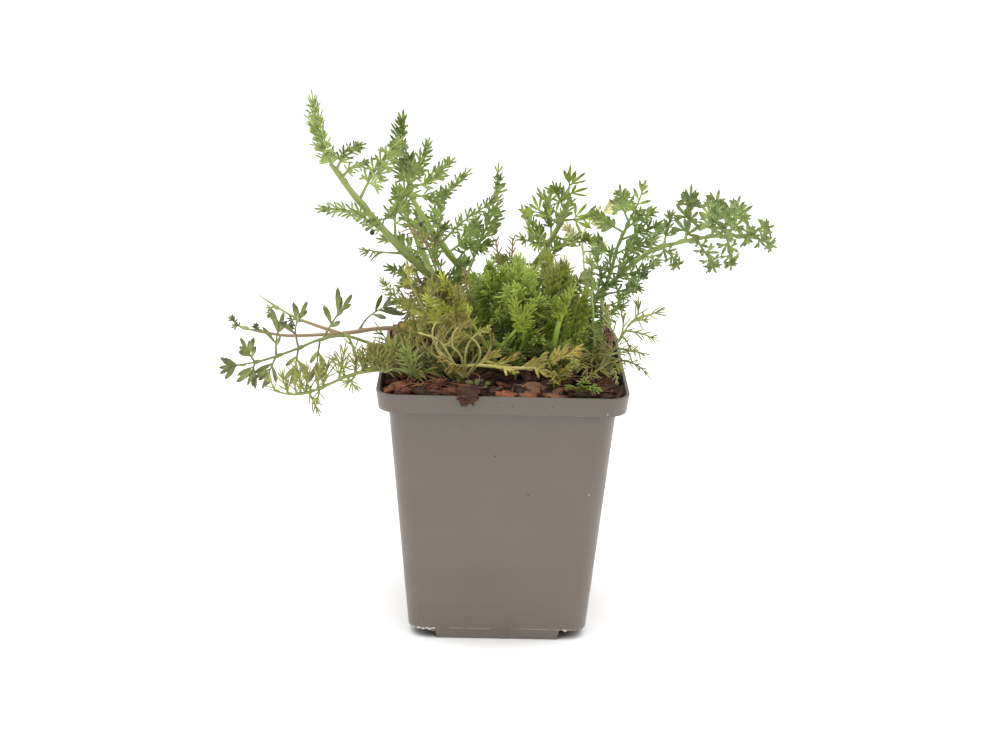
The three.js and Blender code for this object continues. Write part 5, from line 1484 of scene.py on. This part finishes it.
def lay_mulch(models):
    """Layers of chips, largest below and crumbs on top and all clear of the stems, and the single chips."""
    rule = random.Random(MULCH_SEED)
    stems = [(*plant["stem"][0][:2], plant["radii"][0]) for plant in SHOOTS]
    chips = []
    for across, stray, height, tilt, size in CHIP_LAYERS:
        step = 2 * MULCH_HALF / across
        for row in range(across):
            for column in range(across):
                x = -MULCH_HALF + step * (column + 0.5 + stray * rule.uniform(-1, 1))
                y = -MULCH_HALF + step * (row + 0.5 + stray * rule.uniform(-1, 1))
                form = rule.randrange(len(models))
                turn = rule.uniform(0, math.pi)
                lean = (rule.uniform(-tilt, tilt), rule.uniform(-tilt, tilt))
                rise = rule.uniform(-0.4, 0.7)
                grow = size * rule.uniform(0.8, 1.15)
                tone = rule.random() ** 1.2
                place = (x, y, height + rise)
                if min(math.hypot(x - sx, y - sy) - radius for sx, sy, radius in stems) >= CLEAR_OF_STEMS:
                    chips.append(lay_chip(models[form], place, turn, *lean, grow, LAYER_LIMITS, tone))
    for x, y, z, turn, tilt, roll, size, form, tone in SINGLED_CHIPS:
        chips.append(lay_chip(models[form], (x, y, z), turn, tilt, roll, size, SINGLE_LIMITS, tone))
    return chips


# The flake over the front rim, in millimetres
FLAKE_WIDTH = 5.2
FLAKE_LENGTH = 6
FLAKE_THICKNESS = 1.1
FLAKE_PLACE = (-12, -34, 98.6)
FREE_EDGE_BEYOND = -36.9
# Its pulls from the mulch over the rim: forward, up and the new width share
FLAKE_PULLS = ((-3.4, 2.4, 1.2), (-3.0, 0.5, 1.15), (-2.4, -0.6, 1.05), (-1.2, -2.0, 0.95), (-0.4, -2.0, 0.8))


def rim_chip():
    """The thin curled flake that lies over the front rim and hangs down in front of it."""
    flake = lay_out("rim_flake", bpy.ops.mesh.primitive_plane_add, (FLAKE_WIDTH * MM, FLAKE_LENGTH * MM, 1),
                    [part * MM for part in FLAKE_PLACE])
    open_up(flake, "EDGE")
    pick(flake, "EDGE", lambda middle, along: middle.y < FREE_EDGE_BEYOND * MM and abs(along.x) > 0)
    for forward, up, share in FLAKE_PULLS:
        pull_out((-0.12 * MM, forward * MM, up * MM))
        scale_picked((share,) * 3, middle_of_picked(flake))
    pick_all()
    bpy.ops.mesh.subdivide(number_cuts=2)
    pick_all()
    roughen(0.55 * MM, 5)
    pick(flake, "VERT", lambda place, normal: place.z < 97.5 * MM and place.y < -44.5 * MM)
    roughen(0.8 * MM, 8)
    pick_all()
    bpy.ops.uv.cube_project(cube_size=10.0 * MM)
    close_up()
    apply_modifier(flake, "SOLIDIFY", thickness=FLAKE_THICKNESS * MM, offset=0)
    soften(flake, 24)
    mark(flake, "tone", 0.5)
    return flake


def build_mulch():
    models = [bark_chip(f"chip_form_{n}", *form, CHIP_SEEDS + n) for n, form in enumerate(CHIP_FORMS)]
    chips = lay_mulch(models)
    bin_models(models)
    chips.append(rim_chip())
    bark_finish().put_on(*chips)
    bed = mulch_bed()
    mark(bed, "tone", 0.1)
    peat_finish().put_on(bed)
    set_on_object(gather([bed, *chips], "bark_mulch_loose"), "bark_mulch", "bark_mulch")


# Fibres on the chips, thickest at the left front and the right edge: how many, and their ground along X and Y
FIBRE_GROUNDS = ((26, (-38, -12), (-38, -20)), (14, (28, 41), (-36, -6)), (14, (-38, 38), (-40, 36)))
FIBRE_LIMIT = 42.2
FIBRE_STEPS = 8


def lay_fibres():
    """Loose reddish bark fibres that lie curled on the chips."""
    rule = random.Random(FIBRE_SEED)
    runs = []
    for count, across, deep in FIBRE_GROUNDS:
        for _ in range(count):
            place = Vector((rule.uniform(*across), rule.uniform(*deep), rule.uniform(98.4, 100.2)))
            heading = rule.uniform(0, 2 * math.pi)
            step = rule.uniform(0.9, 2.2)
            curl = rule.uniform(-0.35, 0.35)
            places = []
            for index in range(FIBRE_STEPS):
                places.append(place.copy())
                heading += curl + rule.uniform(-0.2, 0.2)
                rise = rule.uniform(-0.1, 0.75) * (1 - index / 4)
                place += Vector((math.cos(heading) * step, math.sin(heading) * step, rise))
                place.x = min(max(place.x, -FIBRE_LIMIT), FIBRE_LIMIT)
                place.y = max(place.y, -FIBRE_LIMIT)
            thick = rule.uniform(0.12, 0.26)
            runs.append((places, [thick * (1 - 0.09 * index) for index in range(FIBRE_STEPS)]))
    fibres = tubes("bark_fibres", runs, 1)
    finish = Finish("bark_fibre", 0.8, 0.25)
    finish.paint(finish.steps(finish.grain(60, 2), (0.35, 0x4a2c1e), (0.5, 0x84543a), (0.68, 0xb98a64)))
    finish.relief(finish.grain(3000, 3), 0.4, 0.0001)
    finish.put_on(fibres)
    set_on_object(fibres, "bark_mulch")


# Small things on the plant: two dark drops that hang beside the left stems, and a seedling on the bark

# Place, radius and root of each drop
DROPS = (((-48.4, -6.2, 148.0), 0.95, (-43.6, -4.3, 149.4)), ((-31.4, 6.4, 148.4), 0.75, (-28.6, 9.0, 149.2)))
# Turn, length, width and rise of each seedling leaf, round one root
SEEDLING_ROOT = (-9, -31, 97.4)
SEEDLING_LEAVES = (
    (0.3, 5.0, 3.6, 2.2), (2.7, 5.2, 3.8, 2.6), (1.4, 4.2, 3.2, 3.4), (4.2, 4.6, 3.4, 2.0),
    (5.4, 4.8, 3.4, 1.8),
)


def dark_drop(place, radius):
    """A dark wet bud with a short neck, hanging from the leaf above it."""
    clear_bench()
    bpy.ops.mesh.primitive_uv_sphere_add(segments=12, ring_count=8, radius=radius, location=place)
    drop = bpy.context.object
    drop.name = "dark_drop"
    fix_place(drop)
    open_up(drop)
    pick(drop, "VERT", lambda spot, normal: spot.z > place[2] + radius * 0.6)
    slide((0.1 * radius, 0, 0.7 * radius))
    scale_picked((0.45, 0.45, 1), middle_of_picked(drop))
    close_up()
    soften(drop, 60)
    drop.data.transform(Matrix.Scale(MM, 4))
    return drop


def hang_drops():
    drops = [dark_drop(place, radius) for place, radius, _ in DROPS]
    necks = []
    for place, _, root in DROPS:
        bow = Vector(root).lerp(Vector(place), 0.6) + Vector((0, 0, 0.5))
        necks.append(([Vector(root), bow, Vector(place)], [0.3, 0.22, 0.2]))
    drops.append(tubes("drop_necks", necks, 1))
    wet = Finish("dark_drop_skin", 0.3, 0.5)
    wet.paint(wet.steps(wet.grain(900, 2), (0.4, 0x120d10), (0.7, 0x2c2326)))
    wet.relief(wet.grain(1500, 2), 0.3, 0.0001)
    wet.put_on(*drops)
    set_on_object(gather(drops, "dark_drops"), "shoot_left_tall")


def seedling_leaf(turn, length, width, rise):
    """A small rounded leaf on a short stalk."""
    leaf = start_pinna("seedling_leaf", length * 0.35, 0.5)
    draw_out(leaf, (length * 0.35, 0, 0), [
        (length * 0.12, 0, 0.15, width * 1.5), (length * 0.22, 0, 0.2, 1.3), (length * 0.2, 0, -0.1, 0.9),
        (length * 0.11, 0, -0.3, 0.5),
    ])
    finish_pinna(leaf, length, 0.3)
    turned = Matrix.Rotation(turn, 4, "Z") @ Matrix.Rotation(-math.atan2(rise, length), 4, "Y")
    leaf.data.transform(Matrix.Scale(MM, 4) @ Matrix.Translation(SEEDLING_ROOT) @ turned)
    mark(leaf, "tone", 0.5)
    return leaf


def plant_seedling():
    leaves = [seedling_leaf(*row) for row in SEEDLING_LEAVES]
    leaf_finish("seedling_leaf", 0x434f1f, 0x66742f, 0x474a24).put_on(*leaves)
    set_on_object(gather(leaves, "seedling"), "bark_mulch")


# Camera, floor and light

# The fit of the photograph's camera to the pot: distance and aim in millimetres, angles in degrees, focal
# length and picture width in pixels
CAMERA_DISTANCE = 675.78
CAMERA_AIM = (-0.744, 0, 92.897)
CAMERA_RISE, CAMERA_SWING, CAMERA_LEAN = 17.753, -0.677, 1.379
FOCAL_PIXELS = 1801.06
PICTURE_WIDTH = 1000
SENSOR_WIDTH = 36.0


def set_camera():
    """The photograph's view: a long lens a little above the pot, turned slightly."""
    rise, swing, lean = (math.radians(angle) for angle in (CAMERA_RISE, CAMERA_SWING, CAMERA_LEAN))
    back = Vector((math.sin(swing) * math.cos(rise), -math.cos(swing) * math.cos(rise), math.sin(rise)))
    level = Vector((0, 0, 1)).cross(back).normalized()
    upright = back.cross(level)
    across = level * math.cos(lean) + upright * math.sin(lean)
    up = upright * math.cos(lean) - level * math.sin(lean)
    place = (Vector(CAMERA_AIM) + back * CAMERA_DISTANCE) * MM
    data = bpy.data.cameras.new("camera")
    camera = bpy.data.objects.new("camera", data)
    bpy.context.scene.collection.objects.link(camera)
    turn = Matrix((across, up, back)).transposed().to_4x4()
    camera.matrix_world = Matrix.Translation(place) @ turn
    data.sensor_width = SENSOR_WIDTH
    data.lens = FOCAL_PIXELS / PICTURE_WIDTH * SENSOR_WIDTH
    data.clip_start, data.clip_end = 0.02, 60.0
    bpy.context.scene.camera = camera


# Softboxes, in metres and watts: place, height aimed at, width, height and power
SOFTBOXES = {
    "top_softbox": ((-0.1, -0.15, 1.3), 0.1, 1.5, 1.5, 10),
    "front_softbox": ((-0.1, -1.5, 0.6), 0.05, 1.4, 1.0, 4.5),
    "left_softbox": ((-1.2, 0.2, 0.4), 0.08, 0.7, 1.0, 9),
    "right_softbox": ((1.2, 0.2, 0.4), 0.08, 0.7, 1.0, 12),
}


def set_lights():
    for name, (place, aim, width, height, power) in SOFTBOXES.items():
        data = bpy.data.lights.new(name, "AREA")
        data.shape = "RECTANGLE"
        data.size, data.size_y = width, height
        data.energy = power
        lamp = bpy.data.objects.new(name, data)
        bpy.context.scene.collection.objects.link(lamp)
        lamp.location = place
        lamp.rotation_euler = (Vector((0, 0, aim)) - Vector(place)).to_track_quat("-Z", "Y").to_euler()


def set_studio():
    """A white floor with painted shadow: a little greyer round the pot, and painted dark right under it where
    the pot shuts out the light, in white air.
    """
    clear_bench()
    bpy.ops.mesh.primitive_plane_add(size=24, location=(0, 0, 0))
    floor = bpy.context.object
    floor.name = "studio_floor"
    white = Finish("pale_floor_painted_shade", 0.9, 0.1)
    away = white.add("ShaderNodeVectorMath", operation="DISTANCE")
    white.give(away.inputs[0], white.place)
    away.inputs[1].default_value = (0, -0.045, 0)
    distance = away.outputs["Value"]
    # Painted shadow: the floor is painted greyer within a few centimetres of the pot, fading to white further
    # out
    near = white.blend(white.window(distance, 0.035, 0.08), colour(0xf1f1f1), colour(0xfafafa))
    tone = white.blend(white.window(distance, 0.08, 0.5), near, colour(0xffffff))
    # Painted shade: the floor is painted dark where the ambient occlusion is deep, under the pot's notched
    # corners
    occlusion_shade = white.add("ShaderNodeAmbientOcclusion", samples=8)
    occlusion_shade.inputs["Distance"].default_value = 0.012
    white.paint(white.blend(white.window(occlusion_shade.outputs["AO"], 0.1, 0.5), colour(0x4a4744), tone))
    white.put_on(floor)
    world = bpy.data.worlds.new("studio_air")
    bpy.context.scene.world = world
    world.use_nodes = True
    sky = world.node_tree.nodes["Background"]
    sky.inputs["Color"].default_value = (1, 1, 1, 1)
    sky.inputs["Strength"].default_value = 1.0
    bpy.context.scene.view_settings.view_transform = "Standard"


def main():
    models = draw_pinnae()
    for number, plant in enumerate(SHOOTS):
        grow_shoot(plant, number, models)
    grow_undergrowth(models)
    bin_models([pinna for sizes in models.values() for forms in sizes for pinna, _ in forms])
    build_mulch()
    pot = build_pot()
    pot_finish().put_on(pot)
    set_on_object(pot, "pot", "pot")
    tear_flash()
    lay_fibres()
    hang_drops()
    plant_seedling()
    peat_finish().put_on(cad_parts["soil"])
    set_studio()
    set_lights()
    set_camera()


main()
